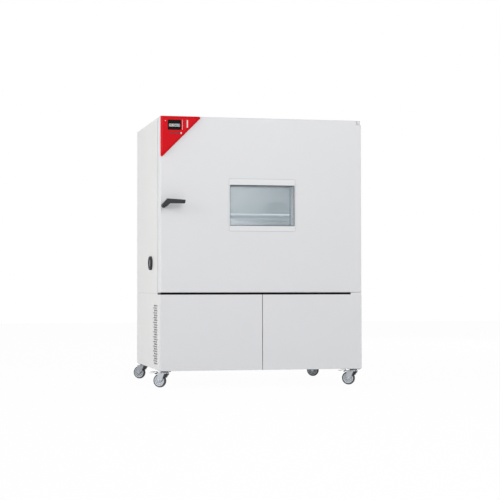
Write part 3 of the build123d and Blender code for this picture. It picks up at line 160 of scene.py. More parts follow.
# %% Lamps
def soft_box(name, place, target, size, watts):
    """A square area lamp that faces target."""
    lamp = bpy.data.lights.new(name, "AREA")
    lamp.shape = "SQUARE"
    lamp.size = size
    lamp.energy = watts
    holder = bpy.data.objects.new(name, lamp)
    holder.location = place
    holder.rotation_euler = (Vector(target) - Vector(place)).to_track_quat("-Z", "Y").to_euler()
    bpy.context.scene.collection.objects.link(holder)


cabinet_middle = (0, 0, 1)
soft_box("front_box", (1.5, -7, 4.5), cabinet_middle, 4, 200)
soft_box("left_box", (-7, -2.5, 3), cabinet_middle, 4, 235)
soft_box("back_box", (5, 6, 4), cabinet_middle, 4, 160)
tank_low, tank_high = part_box("chamber_liner")
tank_middle = (tank_low + tank_high) / 2
tank_top_lamp = (tank_middle.x, tank_low.y + 0.2, tank_high.z - 0.05)
soft_box("tank_top_light", tank_top_lamp, (tank_middle.x, tank_low.y + 0.25, tank_low.z), 0.5, 3)
tank_low_lamp = (tank_middle.x - 0.3, tank_low.y + 0.06, tank_middle.z - 0.22)
soft_box("tank_low_light", tank_low_lamp, (tank_middle.x - 0.2, tank_high.y, tank_middle.z - 0.15), 0.2, 4)

# %% [markdown]
# Finishes come next. Most of the cabinet is powder-coated sheet steel: nearly white, satin, with the faint
# orange-peel of baked powder. Inside it is brushed stainless steel. One helper builds the common part of a
# finish, a Principled shader whose roughness and bump come from noise in metres, and each finish sets its own
# scale and strength on it.


# %% Finish helper
def finish(name, colour, roughness, metallic=0.0, grain=(1, 1, 1), grain_scale=400.0, bump=0.08, mottle=0.03,
           spread=0.06, alpha=1.0, coat=0.0, specular=0.5):
    """A node material: colour with a faint mottle, roughness that wanders by spread, and a fine bump."""
    made = bpy.data.materials.new(name)
    made.use_nodes = True
    tree = made.node_tree
    shader = tree.nodes["Principled BSDF"]
    shader.inputs["Metallic"].default_value = metallic
    shader.inputs["Alpha"].default_value = alpha
    shader.inputs["Coat Weight"].default_value = coat
    shader.inputs["Specular IOR Level"].default_value = specular
    shader.inputs["Coat Roughness"].default_value = 0.12
    place = tree.nodes.new("ShaderNodeTexCoord")
    stretch = tree.nodes.new("ShaderNodeMapping")
    stretch.inputs["Scale"].default_value = grain
    tree.links.new(place.outputs["Object"], stretch.inputs["Vector"])
    fine = tree.nodes.new("ShaderNodeTexNoise")
    fine.inputs["Scale"].default_value = grain_scale
    fine.inputs["Detail"].default_value = 3
    tree.links.new(stretch.outputs["Vector"], fine.inputs["Vector"])
    broad = tree.nodes.new("ShaderNodeTexNoise")
    broad.inputs["Scale"].default_value = 2.5
    broad.inputs["Detail"].default_value = 2
    tree.links.new(place.outputs["Object"], broad.inputs["Vector"])
    tint = tree.nodes.new("ShaderNodeMix")
    tint.data_type = "RGBA"
    tint.inputs["A"].default_value = (*[c * (1 - mottle) for c in colour], 1)
    tint.inputs["B"].default_value = (*[min(1.0, c * (1 + mottle)) for c in colour], 1)
    tree.links.new(broad.outputs["Fac"], tint.inputs["Factor"])
    tree.links.new(tint.outputs["Result"], shader.inputs["Base Color"])
    rough = tree.nodes.new("ShaderNodeMapRange")
    rough.inputs["From Min"].default_value = 0.3
    rough.inputs["From Max"].default_value = 0.7
    rough.inputs["To Min"].default_value = max(0.02, roughness - spread)
    rough.inputs["To Max"].default_value = min(1.0, roughness + spread)
    tree.links.new(fine.outputs["Fac"], rough.inputs["Value"])
    tree.links.new(rough.outputs["Result"], shader.inputs["Roughness"])
    relief = tree.nodes.new("ShaderNodeBump")
    relief.inputs["Strength"].default_value = bump
    relief.inputs["Distance"].default_value = 0.0005
    tree.links.new(fine.outputs["Fac"], relief.inputs["Height"])
    tree.links.new(relief.outputs["Normal"], shader.inputs["Normal"])
    return made


# %% [markdown]
# The coats of paint. Colours are written as the linear values of what the photograph shows: the door is a cool
# light grey-white, the side panels are a little warmer, and the window's frame lies between them.

# %% Painted metal
white_coat = finish("white_powder_coat", (0.74, 0.745, 0.765), 0.42, grain_scale=650, bump=0.10, mottle=0.012)
side_coat = finish("side_powder_coat", (0.77, 0.77, 0.765), 0.45, grain_scale=650, bump=0.10, mottle=0.012)
trim_coat = finish("window_trim_coat", (0.77, 0.775, 0.785), 0.38, grain_scale=650, bump=0.06, mottle=0.01)
galvanised = finish("galvanised_sheet", (0.52, 0.54, 0.55), 0.42, metallic=0.9, grain_scale=60, bump=0.05,
                    mottle=0.12)
black_coat = finish("black_gutter", (0.012, 0.013, 0.015), 0.6, grain_scale=500, bump=0.1, mottle=0.1)

# %% [markdown]
# Bare metals. A brushed sheet has grain in one direction only, so its noise is stretched along X: short scale
# factors make long streaks. Zinc plate is duller, with a soft mottle.

# %% Bare metal
stainless = finish("brushed_stainless", (0.60, 0.62, 0.64), 0.32, metallic=1.0, grain=(0.02, 1, 1), grain_scale=900,
                   bump=0.12, mottle=0.03, spread=0.08)
# The rear forks take a darker copy of the zinc: painted shade, for the shade that falls on the rear castors under the
# cabinet.
dull_zinc = finish("dull_zinc_plate", (0.23, 0.24, 0.26), 0.40, metallic=1.0, grain_scale=140, bump=0.20, mottle=0.12)
zinc = finish("zinc_plate", (0.43, 0.45, 0.48), 0.36, metallic=1.0, grain_scale=140, bump=0.20, mottle=0.12)
satin_steel = finish("satin_steel", (0.60, 0.63, 0.64), 0.5, metallic=0.5, grain=(0.02, 1, 1), grain_scale=900,
                     bump=0.04)
dark_zinc = finish("dark_zinc_plate", (0.20, 0.21, 0.23), 0.45, metallic=1.0, grain_scale=140, bump=0.06, mottle=0.08)
aluminium = finish("fin_aluminium", (0.70, 0.71, 0.72), 0.40, metallic=1.0, grain_scale=300, bump=0.05)
brass = finish("brass", (0.62, 0.47, 0.22), 0.34, metallic=1.0, grain_scale=250, bump=0.04)
cast_black = finish("compressor_black", (0.014, 0.014, 0.016), 0.45, grain_scale=350, bump=0.12)

# %% [markdown]
# Plastics, rubbers and glass. The controller is moulded in a saturated red with a satin skin. The panes are
# clear with a faint cool haze: light has to pass straight through three of them to reach the test space, so
# they are thin in colour and low in alpha instead of refracting.

# %% Plastic, rubber and glass
red_plastic = finish("red_moulding", (0.66, 0.003, 0.010), 0.42, grain_scale=700, bump=0.05, mottle=0.03,
                     specular=0.08)
dark_red = finish("dark_red_keys", (0.10, 0.004, 0.008), 0.45, grain_scale=700, bump=0.05)
pale_key_plastic = finish("pale_key", (0.82, 0.55, 0.56), 0.45, grain_scale=700, bump=0.04)
screen_black = finish("screen_black", (0.005, 0.003, 0.002), 0.25, grain_scale=300, bump=0.0, spread=0.02,
                      specular=0.04)
# This pale pink is the panel's print and also one painted highlight, the thin line beside the screen.
print_and_highlight_white = finish("print_and_highlight_white", (0.86, 0.62, 0.63), 0.45, grain_scale=500, bump=0.0)
anthracite = finish("anthracite_plastic", (0.022, 0.024, 0.027), 0.46, grain_scale=800, bump=0.10, mottle=0.05,
                    specular=0.3)
port_black = finish("port_plastic", (0.018, 0.019, 0.021), 0.55, grain_scale=600, bump=0.10)
plug_grey = finish("plug_silicone", (0.34, 0.35, 0.36), 0.62, grain_scale=250, bump=0.12)
hub_grey = finish("wheel_hub_plastic", (0.60, 0.64, 0.67), 0.40, grain_scale=500, bump=0.05)
tyre_rubber = finish("tyre_rubber", (0.060, 0.064, 0.070), 0.62, grain_scale=300, bump=0.15, mottle=0.08)
seal_rubber = finish("seal_rubber", (0.035, 0.036, 0.04), 0.60, grain_scale=400, bump=0.10)
wool = finish("mineral_wool", (0.55, 0.48, 0.33), 0.95, grain=(1, 0.2, 1), grain_scale=200, bump=0.6, mottle=0.12)
boiler = finish("boiler_plastic", (0.60, 0.60, 0.57), 0.5, grain_scale=300, bump=0.06)
pane_glass = finish("window_glass", (0.62, 0.72, 0.77), 0.05, grain_scale=3, bump=0.0, mottle=0.04, spread=0.02,
                    alpha=0.15)

# %% [markdown]
# The finishes go onto the solids. A solid's own mesh is never edited, only its material slots are filled.

# %% Dress the solids
dress = {
    "door_skin": white_coat, "service_panels": white_coat, "front_frame": side_coat, "hinge_brackets": side_coat,
    "upper_side_panels": side_coat, "lower_side_panels": side_coat, "top_panel": side_coat,
    "rear_panels": side_coat, "window_frame": trim_coat, "base_frame": galvanised, "electrical_box": galvanised,
    "drip_gutter": black_coat, "chamber_liner": stainless, "door_liner": stainless, "air_baffle": satin_steel,
    "heater_coil": stainless, "shelf_rails": stainless, "wire_shelf": stainless, "evaporator": aluminium,
    "condenser": aluminium, "circulation_fan_left": aluminium, "circulation_fan_right": aluminium,
    "fan_motors": aluminium, "condenser_fan": anthracite, "compressors": cast_black, "humidifier": boiler,
    "chamber_insulation": wool, "door_insulation": wool, "door_gasket": seal_rubber, "window_panes": pane_glass,
    "controller_bezel": red_plastic, "display_screen": screen_black, "power_key": pale_key_plastic,
    "handle_lever": anthracite, "handle_rosette": anthracite, "port_sleeve": port_black, "port_plug": plug_grey,
    "latch_striker": zinc, "castor_plates": dark_zinc, "drain_spigot": brass, "cable_gland": port_black,
    "hinge_bushes": brass,
}
for number in range(1, 5):
    dress[f"menu_key_{number}"] = dark_red
corners = ("front_left", "front_right", "rear_left", "rear_right")
for corner in corners:
    # The rear forks' darker zinc is painted shade.
    dress[f"{corner}_fork"] = dull_zinc if corner.startswith("rear") else zinc
    dress[f"{corner}_tyre"] = tyre_rubber
    dress[f"{corner}_hub"] = hub_grey
    if corner.startswith("front"):
        dress[f"{corner}_brake_pedal"] = zinc
for name, coat in dress.items():
    nodes[name].data.materials.clear()
    nodes[name].data.materials.append(coat)
print("solids without a finish:", sorted(set(nodes) - set(dress)))

# %% [markdown]
# Small parts are easiest to model where they sit. Flat printed marks, pads and covers are blocks with rounded
# edges: bmesh makes a cube, stretches it to its two corners and bevels every edge, so no edge is knife-sharp and
# each one catches a thin light, as moulded and folded parts do.


# %% Rounded blocks
def keep(name, form, coat, body):
    """Turns a bmesh into a piece that rides on body."""
    shape = bpy.data.meshes.new(name)
    bmesh.ops.recalc_face_normals(form, faces=form.faces[:])
    form.to_mesh(shape)
    form.free()
    shape.materials.append(coat)
    piece = bpy.data.objects.new(name, shape)
    bpy.context.scene.collection.objects.link(piece)
    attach(piece, body)
    return piece


def soft_blocks(name, corners_list, coat, body, edge, turn=None):
    """One piece of several blocks, each given by two corners, with edges rounded by edge."""
    form = bmesh.new()
    for low, high in corners_list:
        low = Vector(low)
        high = Vector(high)
        stretch = Matrix.Diagonal((*(high - low), 1))
        bmesh.ops.create_cube(form, size=1, matrix=Matrix.Translation((low + high) / 2) @ stretch)
    bmesh.ops.bevel(form, geom=form.edges[:], offset=edge, segments=2, profile=0.5, affect="EDGES")
    if turn is not None:
        bmesh.ops.transform(form, matrix=turn, verts=form.verts[:])
    return keep(name, form, coat, body)


# %% [markdown]
# The controller panel carries a few marks beside the screen: a thin vertical line, a broad white bar and three
# short dark ticks, plus a small pale lamp near the corner. The bar, the ticks and the lamp are print; the thin line
# is a painted highlight, the light on the edge of the bezel. They are raised by a fraction of a millimetre, like
# pad-printed ink. Their places are measured from the panel's upper left corner, to the right and down.

# %% Marks on the controller panel
ink = 0.0004
panel_left = panel_face_low.x
panel_top = panel_face_high.z


def mark(right, down, width, height):
    """The two corners of a printed mark, from millimetres right of and below the panel's corner."""
    low = (panel_left + right * MM, panel_front - ink, panel_top - (down + height) * MM)
    high = (panel_left + (right + width) * MM, panel_front + ink, panel_top - down * MM)
    return low, high


# Painted highlight: this thin line stands for the light on the bezel's edge beside the screen.
soft_blocks("panel_highlight_line", [mark(161, 27, 2.4, 76)], print_and_highlight_white, "door", 0.0002)
soft_blocks("panel_bar", [mark(194, 30, 10, 55)], print_and_highlight_white, "door", 0.0003)
ticks = [mark(178, down, 13, 5) for down in (33, 54, 72)]
soft_blocks("panel_ticks", ticks, dark_red, "door", 0.0003)
soft_blocks("panel_lamp", [mark(31, 34, 6, 6)], print_and_highlight_white, "door", 0.0003)
print("marks on the panel:", 3 + len(ticks))

# %% [markdown]
# The screen shows two plain values. Each stands on a lit field, one warmer and one cooler, and the figures are a
# text object made a mesh, because only meshes are exported. The text is turned to face the front and its place
# is applied to its points, so the piece itself stays at the origin.

# %% Values on the screen
screen_low, screen_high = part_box("display_screen")
screen_front = screen_low.y
field_warm = finish("screen_field_warm", (0.60, 0.57, 0.57), 0.4, grain_scale=500, bump=0.0)
field_cool = finish("screen_field_cool", (0.52, 0.60, 0.64), 0.4, grain_scale=500, bump=0.0)
field_down = 30 * MM
field_height = 20 * MM
field_width = 39 * MM
field_gap = 2 * MM
field_top = screen_high.z - field_down
fields_left = (screen_low.x + screen_high.x) / 2 - field_width - field_gap / 2


def write_value(name, text, x, coat_of_field):
    """A lit field with its left edge at x and dark figures on it."""
    low = (x, screen_front - ink, field_top - field_height)
    high = (x + field_width, screen_front, field_top)
    soft_blocks(name + "_field", [(low, high)], coat_of_field, "door", 0.0001)
    curve = bpy.data.curves.new(name, "FONT")
    curve.body = text
    curve.size = field_height * 1.05
    curve.extrude = ink / 2
    curve.align_x = "CENTER"
    writer = bpy.data.objects.new(name + "_writer", curve)
    bpy.context.scene.collection.objects.link(writer)
    graph = bpy.context.evaluated_depsgraph_get()
    shape = bpy.data.meshes.new_from_object(writer.evaluated_get(graph))
    bpy.data.objects.remove(writer)
    upright = Matrix.Rotation(pi / 2, 4, "X")
    place = Vector((x + field_width / 2, screen_front - 2 * ink, field_top - field_height * 0.86))
    shape.transform(Matrix.Translation(place) @ upright)
    shape.materials.clear()
    shape.materials.append(screen_black)
    figures = bpy.data.objects.new(name, shape)
    bpy.context.scene.collection.objects.link(figures)
    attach(figures, "door")


write_value("temperature_value", "25.0", fields_left, field_warm)
write_value("humidity_value", "60.0", fields_left + field_width + field_gap, field_cool)
print("screen front at", round(screen_front, 4))

# %% [markdown]
# Seals and spacers run round the window and the gasket as closed loops. A Geometry Nodes tree draws
# one loop: a rectangle with rounded corners, swept with a flat oval section. Its sizes are named inputs, so every
# loop on the cabinet comes from the same tree.


# %% Loop tree
def sweep_tree():
    """Rectangle -> rounded corners -> swept oval -> set upright in place, with named inputs."""
    tree = bpy.data.node_groups.new("loop", "GeometryNodeTree")
    for label, kind in (("Width", "NodeSocketFloat"), ("Height", "NodeSocketFloat"), ("Corner", "NodeSocketFloat"),
                        ("Section", "NodeSocketVector"), ("Place", "NodeSocketVector"),
                        ("Finish", "NodeSocketMaterial")):
        tree.interface.new_socket(label, in_out="INPUT", socket_type=kind)
    tree.interface.new_socket("Loop", in_out="OUTPUT", socket_type="NodeSocketGeometry")
    given = tree.nodes.new("NodeGroupInput")
    result = tree.nodes.new("NodeGroupOutput")
    outline = tree.nodes.new("GeometryNodeCurvePrimitiveQuadrilateral")
    tree.links.new(given.outputs["Width"], outline.inputs["Width"])
    tree.links.new(given.outputs["Height"], outline.inputs["Height"])
    rounding = tree.nodes.new("GeometryNodeFilletCurve")
    rounding.mode = "POLY"
    rounding.inputs["Count"].default_value = 6
    tree.links.new(outline.outputs["Curve"], rounding.inputs["Curve"])
    tree.links.new(given.outputs["Corner"], rounding.inputs["Radius"])
    oval = tree.nodes.new("GeometryNodeCurvePrimitiveCircle")
    oval.inputs["Resolution"].default_value = 10
    oval.inputs["Radius"].default_value = 1
    squeeze = tree.nodes.new("GeometryNodeTransform")
    tree.links.new(oval.outputs["Curve"], squeeze.inputs["Geometry"])
    tree.links.new(given.outputs["Section"], squeeze.inputs["Scale"])
    sweep = tree.nodes.new("GeometryNodeCurveToMesh")
    tree.links.new(rounding.outputs["Curve"], sweep.inputs["Curve"])
    tree.links.new(squeeze.outputs["Geometry"], sweep.inputs["Profile Curve"])
    stand = tree.nodes.new("GeometryNodeTransform")
    stand.inputs["Rotation"].default_value = (pi / 2, 0, 0)
    tree.links.new(sweep.outputs["Mesh"], stand.inputs["Geometry"])
    tree.links.new(given.outputs["Place"], stand.inputs["Translation"])
    real = tree.nodes.new("GeometryNodeRealizeInstances")
    tree.links.new(stand.outputs["Geometry"], real.inputs["Geometry"])
    coat = tree.nodes.new("GeometryNodeSetMaterial")
    tree.links.new(real.outputs["Geometry"], coat.inputs["Geometry"])
    tree.links.new(given.outputs["Finish"], coat.inputs["Material"])
    tree.links.new(coat.outputs["Geometry"], result.inputs["Loop"])
    return tree


def grow(name, tree, start_points, values, body, smooth=True):
    """Runs a tree on a mesh of loose points, keeps what it makes as a plain mesh and lets it ride on body."""
    seed = bpy.data.meshes.new(name + "_seed")
    seed.from_pydata(start_points, [], [])
    holder = bpy.data.objects.new(name + "_holder", seed)
    bpy.context.scene.collection.objects.link(holder)
    modifier = holder.modifiers.new("grow", "NODES")
    modifier.node_group = tree
    for socket in tree.interface.items_tree:
        if socket.in_out == "INPUT" and socket.name in values:
            modifier[socket.identifier] = values[socket.name]
    graph = bpy.context.evaluated_depsgraph_get()
    shape = bpy.data.meshes.new_from_object(holder.evaluated_get(graph))
    bpy.data.objects.remove(holder)
    form = bmesh.new()
    form.from_mesh(shape)
    bmesh.ops.remove_doubles(form, verts=form.verts[:], dist=1e-6)
    bmesh.ops.recalc_face_normals(form, faces=form.faces[:])
    for face in form.faces:
        face.smooth = smooth
    form.to_mesh(shape)
    form.free()
    piece = bpy.data.objects.new(name, shape)
    bpy.context.scene.collection.objects.link(piece)
    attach(piece, body)
    return piece


loop_tree = sweep_tree()

# %% [markdown]
# Each of the three panes is held by a dark rubber bead on both faces, and the gaps between the panes are closed by
# pale hollow spacer bars. Seen from the left, the beads draw the dark lines at the right-hand edge of the window
# and the spacer draws the pale one between them. A soft wedge presses the front pane home on the hinge side.

# %% Window seals
pane_low, pane_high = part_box("window_panes")
frame_low, frame_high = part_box("window_frame")
pane_sheet = 5 * MM
pane_pitch = ((pane_high.y - pane_low.y) - pane_sheet) / 2
pane_x = (pane_low.x + pane_high.x) / 2
pane_z = (pane_low.z + pane_high.z) / 2
pane_width = pane_high.x - pane_low.x
pane_height = pane_high.z - pane_low.z
edge_seal = finish("pane_seal", (0.10, 0.11, 0.125), 0.55, grain_scale=500, bump=0.08)
inner_seal = finish("inner_pane_border", (0.06, 0.07, 0.085), 0.5, grain_scale=500, bump=0.05)
spacer_coat = finish("pane_spacer", (0.85, 0.89, 0.93), 0.42, grain_scale=300, bump=0.05)


def pane_loop(name, inset, section, y, coat, corner):
    """A loop parallel to the panes' edge, drawn in by inset."""
    values = {"Width": pane_width - 2 * inset, "Height": pane_height - 2 * inset, "Corner": corner,
              "Section": section, "Place": (pane_x, y, pane_z), "Finish": coat}
    return grow(name, loop_tree, [(0, 0, 0)], values, "door")


bead = 2.6 * MM
border = 5 * MM
spacer_half = pane_pitch / 2 - pane_sheet / 2 - 1.5 * MM
for number in range(3):
    pane_front = pane_low.y + number * pane_pitch
    coat = inner_seal if number == 2 else edge_seal
    reach = border if number == 2 else bead
    section = (reach, 1.4 * MM, 1)
    pane_loop(f"pane_bead_front_{number}", reach, section, pane_front - 1.2 * MM, coat, 4 * MM)
    pane_loop(f"pane_bead_back_{number}", reach, section, pane_front + pane_sheet + 1.2 * MM, coat, 4 * MM)
for number in range(2):
    y = pane_low.y + pane_sheet + number * pane_pitch + (pane_pitch - pane_sheet) / 2
    pane_loop(f"pane_spacer_{number}", 1.8 * MM, (1.7 * MM, spacer_half, 1), y, spacer_coat, 3 * MM)
wedge_width = 5 * MM
wedge_low = (pane_high.x - wedge_width - 0.5 * MM, frame_low.y + 1.5 * MM, pane_low.z + 2 * MM)
wedge_high = (pane_high.x - 0.5 * MM, pane_low.y - 0.3 * MM, pane_high.z - 2 * MM)
soft_blocks("hinge_side_wedge", [(wedge_low, wedge_high)], edge_seal, "door", 0.8 * MM)
print("pane pitch", round(pane_pitch, 4), "spacer half width", round(spacer_half, 4))

# %% [markdown]
# The gasket on the door's inner face is a rubber section with two soft lips that meet the cabinet's front frame.
# The solid gasket is a flat ring; two beads on its back face make the lips.

# %% Gasket lips
gasket_low, gasket_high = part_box("door_gasket")
gasket_x = (gasket_low.x + gasket_high.x) / 2
gasket_z = (gasket_low.z + gasket_high.z) / 2
gasket_band = 25 * MM
gasket_corner = 20 * MM
lip_from_edge = 6 * MM
for number, inset in enumerate((lip_from_edge, gasket_band - lip_from_edge)):
    values = {"Width": gasket_high.x - gasket_low.x - 2 * inset, "Height": gasket_high.z - gasket_low.z - 2 * inset,
              "Corner": gasket_corner, "Section": (3.2 * MM, 2.4 * MM, 1),
              "Place": (gasket_x, gasket_high.y - 2.6 * MM, gasket_z), "Finish": seal_rubber}
    grow(f"gasket_lip_{number}", loop_tree, [(0, 0, 0)], values, "door")
print("gasket back face at", round(gasket_high.y, 4))

# %% [markdown]
# Screws repeat more than anything else on a cabinet, so one tree makes them all. It sets a low cylinder on every
# given point, pulls in the top face and sinks it, which leaves a hexagon socket. A head has about forty faces,
# few enough to repeat hundreds of times.


# %% Screw tree
def screw_tree():
    """A socket-head screw on every point: cylinder -> inset top -> sunk socket -> turned to its face."""
    tree = bpy.data.node_groups.new("screws", "GeometryNodeTree")
    for label, kind in (("Places", "NodeSocketGeometry"), ("Head radius", "NodeSocketFloat"),
                        ("Head height", "NodeSocketFloat"), ("Socket share", "NodeSocketFloat"),
                        ("Sides", "NodeSocketInt"), ("Turn", "NodeSocketVector"),
                        ("Finish", "NodeSocketMaterial")):
        tree.interface.new_socket(label, in_out="INPUT", socket_type=kind)
    tree.interface.new_socket("Screws", in_out="OUTPUT", socket_type="NodeSocketGeometry")
    given = tree.nodes.new("NodeGroupInput")
    result = tree.nodes.new("NodeGroupOutput")
    head = tree.nodes.new("GeometryNodeMeshCylinder")
    tree.links.new(given.outputs["Sides"], head.inputs["Vertices"])
    tree.links.new(given.outputs["Head radius"], head.inputs["Radius"])
    tree.links.new(given.outputs["Head height"], head.inputs["Depth"])
    inset = tree.nodes.new("GeometryNodeExtrudeMesh")
    inset.inputs["Offset Scale"].default_value = 0
    tree.links.new(head.outputs["Mesh"], inset.inputs["Mesh"])
    tree.links.new(head.outputs["Top"], inset.inputs["Selection"])
    narrow = tree.nodes.new("GeometryNodeScaleElements")
    tree.links.new(inset.outputs["Mesh"], narrow.inputs["Geometry"])
    tree.links.new(inset.outputs["Top"], narrow.inputs["Selection"])
    tree.links.new(given.outputs["Socket share"], narrow.inputs["Scale"])
    depth = tree.nodes.new("ShaderNodeMath")
    depth.operation = "MULTIPLY"
    depth.inputs[1].default_value = -0.6
    tree.links.new(given.outputs["Head height"], depth.inputs[0])
    sink = tree.nodes.new("GeometryNodeExtrudeMesh")
    tree.links.new(narrow.outputs["Geometry"], sink.inputs["Mesh"])
    tree.links.new(inset.outputs["Top"], sink.inputs["Selection"])
    tree.links.new(depth.outputs[0], sink.inputs["Offset Scale"])
    turn = tree.nodes.new("FunctionNodeEulerToRotation")
    tree.links.new(given.outputs["Turn"], turn.inputs["Euler"])
    spread = tree.nodes.new("GeometryNodeInstanceOnPoints")
    tree.links.new(given.outputs["Places"], spread.inputs["Points"])
    tree.links.new(sink.outputs["Mesh"], spread.inputs["Instance"])
    tree.links.new(turn.outputs["Rotation"], spread.inputs["Rotation"])
    real = tree.nodes.new("GeometryNodeRealizeInstances")
    tree.links.new(spread.outputs["Instances"], real.inputs["Geometry"])
    coat = tree.nodes.new("GeometryNodeSetMaterial")
    tree.links.new(real.outputs["Geometry"], coat.inputs["Geometry"])
    tree.links.new(given.outputs["Finish"], coat.inputs["Material"])
    tree.links.new(coat.outputs["Geometry"], result.inputs["Screws"])
    return tree


fastener_tree = screw_tree()
facing = {"front": (pi / 2, 0, 0), "back": (-pi / 2, 0, 0), "down": (pi, 0, 0), "left": (0, -pi / 2, 0),
          "right": (0, pi / 2, 0), "up": (0, 0, 0)}


def screws(name, places, side, radius, height, coat, body, sides=12, socket=0.55):
    """Screw heads centred on places, their tops towards side."""
    values = {"Head radius": radius, "Head height": height, "Socket share": socket, "Sides": sides,
              "Turn": facing[side], "Finish": coat}
    piece = grow(name, fastener_tree, places, values, body, smooth=False)
    print(name, len(places))
    return piece


# %% [markdown]
# Where the screws go: along the edges of both rear panels, on the strike plate, round the front of the electrical
# box and round the air baffle.

# %% Screws on sheet metal
rear_low, rear_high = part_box("rear_panels")
split_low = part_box("lower_side_panels")[1].z
panel_margin = 14 * MM
screw_coat = finish("screw_steel", (0.50, 0.51, 0.53), 0.32, metallic=1.0, grain_scale=300, bump=0.04)
dark_screw = finish("dark_screw", (0.05, 0.052, 0.058), 0.42, metallic=0.6, grain_scale=300, bump=0.04)


def along_edges(low, high, margin, columns, rows):
    """Places along the four edges of a rectangle in x and z, drawn in by margin."""
    left, right = low[0] + margin, high[0] - margin
    bottom, top = low[1] + margin, high[1] - margin
    found = []
    for column in range(columns):
        x = left + (right - left) * column / (columns - 1)
        found.append((x, bottom))
        found.append((x, top))
    for row in range(1, rows - 1):
        z = bottom + (top - bottom) * row / (rows - 1)
        found.append((left, z))
        found.append((right, z))
    return found


head_height = 2.4 * MM
rear_places = along_edges((rear_low.x, split_low), (rear_high.x, rear_high.z), panel_margin, 6, 6)
rear_places += along_edges((rear_low.x, rear_low.z), (rear_high.x, split_low), panel_margin, 6, 4)
screws("rear_screws", [(x, rear_high.y, z) for x, z in rear_places], "back", 5 * MM, head_height, screw_coat,
       "housing")
box_low, box_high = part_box("electrical_box")
box_places = along_edges((box_low.x, box_low.z), (box_high.x, box_high.z), 10 * MM, 3, 3)
screws("box_screws", [(x, box_low.y, z) for x, z in box_places], "front", 4 * MM, head_height, screw_coat, "housing")
strike_low, strike_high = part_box("latch_striker")
strike_x = (strike_low.x + strike_high.x) / 2
strike_places = [(strike_x, strike_low.y, z) for z in (strike_low.z + 10 * MM, strike_high.z - 10 * MM)]
screws("strike_screws", strike_places, "front", 3.5 * MM, 1.2 * MM, screw_coat, "housing")
baffle_low, baffle_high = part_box("air_baffle")
baffle_places = along_edges((baffle_low.x, baffle_low.z), (baffle_high.x, baffle_high.z), 18 * MM, 4, 4)
screws("baffle_screws", [(x, baffle_low.y, z) for x, z in baffle_places], "front", 5 * MM, head_height, screw_coat,
       "housing")

# %% [markdown]
# Two thin loops finish the window outside. A grey joint shows where the frame meets the door's skin; its grey is
# partly painted shade, the thin shadow along the frame's edge. A bright bead frames the glass. The solids keep both
# flat, because neither changes how the window is built.

# %% Window trim
joint_and_shade_grey = finish("joint_and_shade_grey", (0.50, 0.505, 0.52), 0.6, grain_scale=400, bump=0.04)
bright_trim = finish("bright_trim", (0.88, 0.90, 0.92), 0.34, grain_scale=500, bump=0.03)
frame_x = (frame_low.x + frame_high.x) / 2
frame_z = (frame_low.z + frame_high.z) / 2


def frame_loop(name, width, height, section, y, coat, corner):
    """A loop round the window's middle, on the door's front."""
    values = {"Width": width, "Height": height, "Corner": corner, "Section": section,
              "Place": (frame_x, y, frame_z), "Finish": coat}
    return grow(name, loop_tree, [(0, 0, 0)], values, "door")


outer_width = frame_high.x - frame_low.x
outer_height = frame_high.z - frame_low.z
# The joint's grey is a real joint and also painted shade along the frame's edge.
frame_loop("window_joint_and_shade", outer_width + 2.4 * MM, outer_height + 2.4 * MM, (1.6 * MM, 0.6 * MM, 1),
           door_front - 0.2 * MM, joint_and_shade_grey, 7 * MM)
values = {"Width": pane_width + 2.6 * MM, "Height": pane_height + 8 * MM, "Corner": 3 * MM,
          "Section": (1.3 * MM, 0.9 * MM, 1), "Place": (pane_x, frame_low.y - 0.1 * MM, pane_z),
          "Finish": bright_trim}
grow("window_bead", loop_tree, [(0, 0, 0)], values, "door")

# %% [markdown]
# The wire shelf has a raised front lip, so that samples can't slide forwards. It is the bright line behind the
# glass. The lip is a rounded bar on short posts that stand on the shelf's front wire. The photograph shows it
# brighter than the lamps of this scene make it, so it has a faint glow of its own. The real one isn't lit.

# %% Shelf lip
shelf_low, shelf_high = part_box("wire_shelf")
lip_coat = finish("shelf_lip", (0.90, 0.92, 0.95), 0.35, grain_scale=300, bump=0.03)
lip_shader = lip_coat.node_tree.nodes["Principled BSDF"]
lip_shader.inputs["Emission Color"].default_value = (0.86, 0.93, 1.0, 1)
lip_shader.inputs["Emission Strength"].default_value = 0.8
lip_bottom = shelf_high.z + 9 * MM
lip_top = shelf_high.z + 21 * MM
lip_front = shelf_low.y + 1 * MM
lip_back = lip_front + 4 * MM
lip_inset = 26 * MM
lip_blocks = [((shelf_low.x + lip_inset, lip_front, lip_bottom), (shelf_high.x - lip_inset, lip_back, lip_top))]
lip_posts = 7
for number in range(lip_posts):
    x = shelf_low.x + lip_inset + 4 * MM
    x += (shelf_high.x - shelf_low.x - 2 * lip_inset - 8 * MM) * number / (lip_posts - 1)
    lip_blocks.append(((x - 2.5 * MM, lip_front + 0.6 * MM, shelf_low.z + 3 * MM),
                       (x + 2.5 * MM, lip_back - 0.4 * MM, lip_bottom + 1 * MM)))
soft_blocks("shelf_lip", lip_blocks, lip_coat, "housing", 0.8 * MM)
print("shelf lip from", round(lip_bottom, 4), "to", round(lip_top, 4))

# %% [markdown]
# Round fittings are turned parts, so their meshes are turned too: a profile of radius and distance pairs is swept
# round an axis. One helper serves the wheel covers, the rings in their grooves and the axle nuts with their washers.


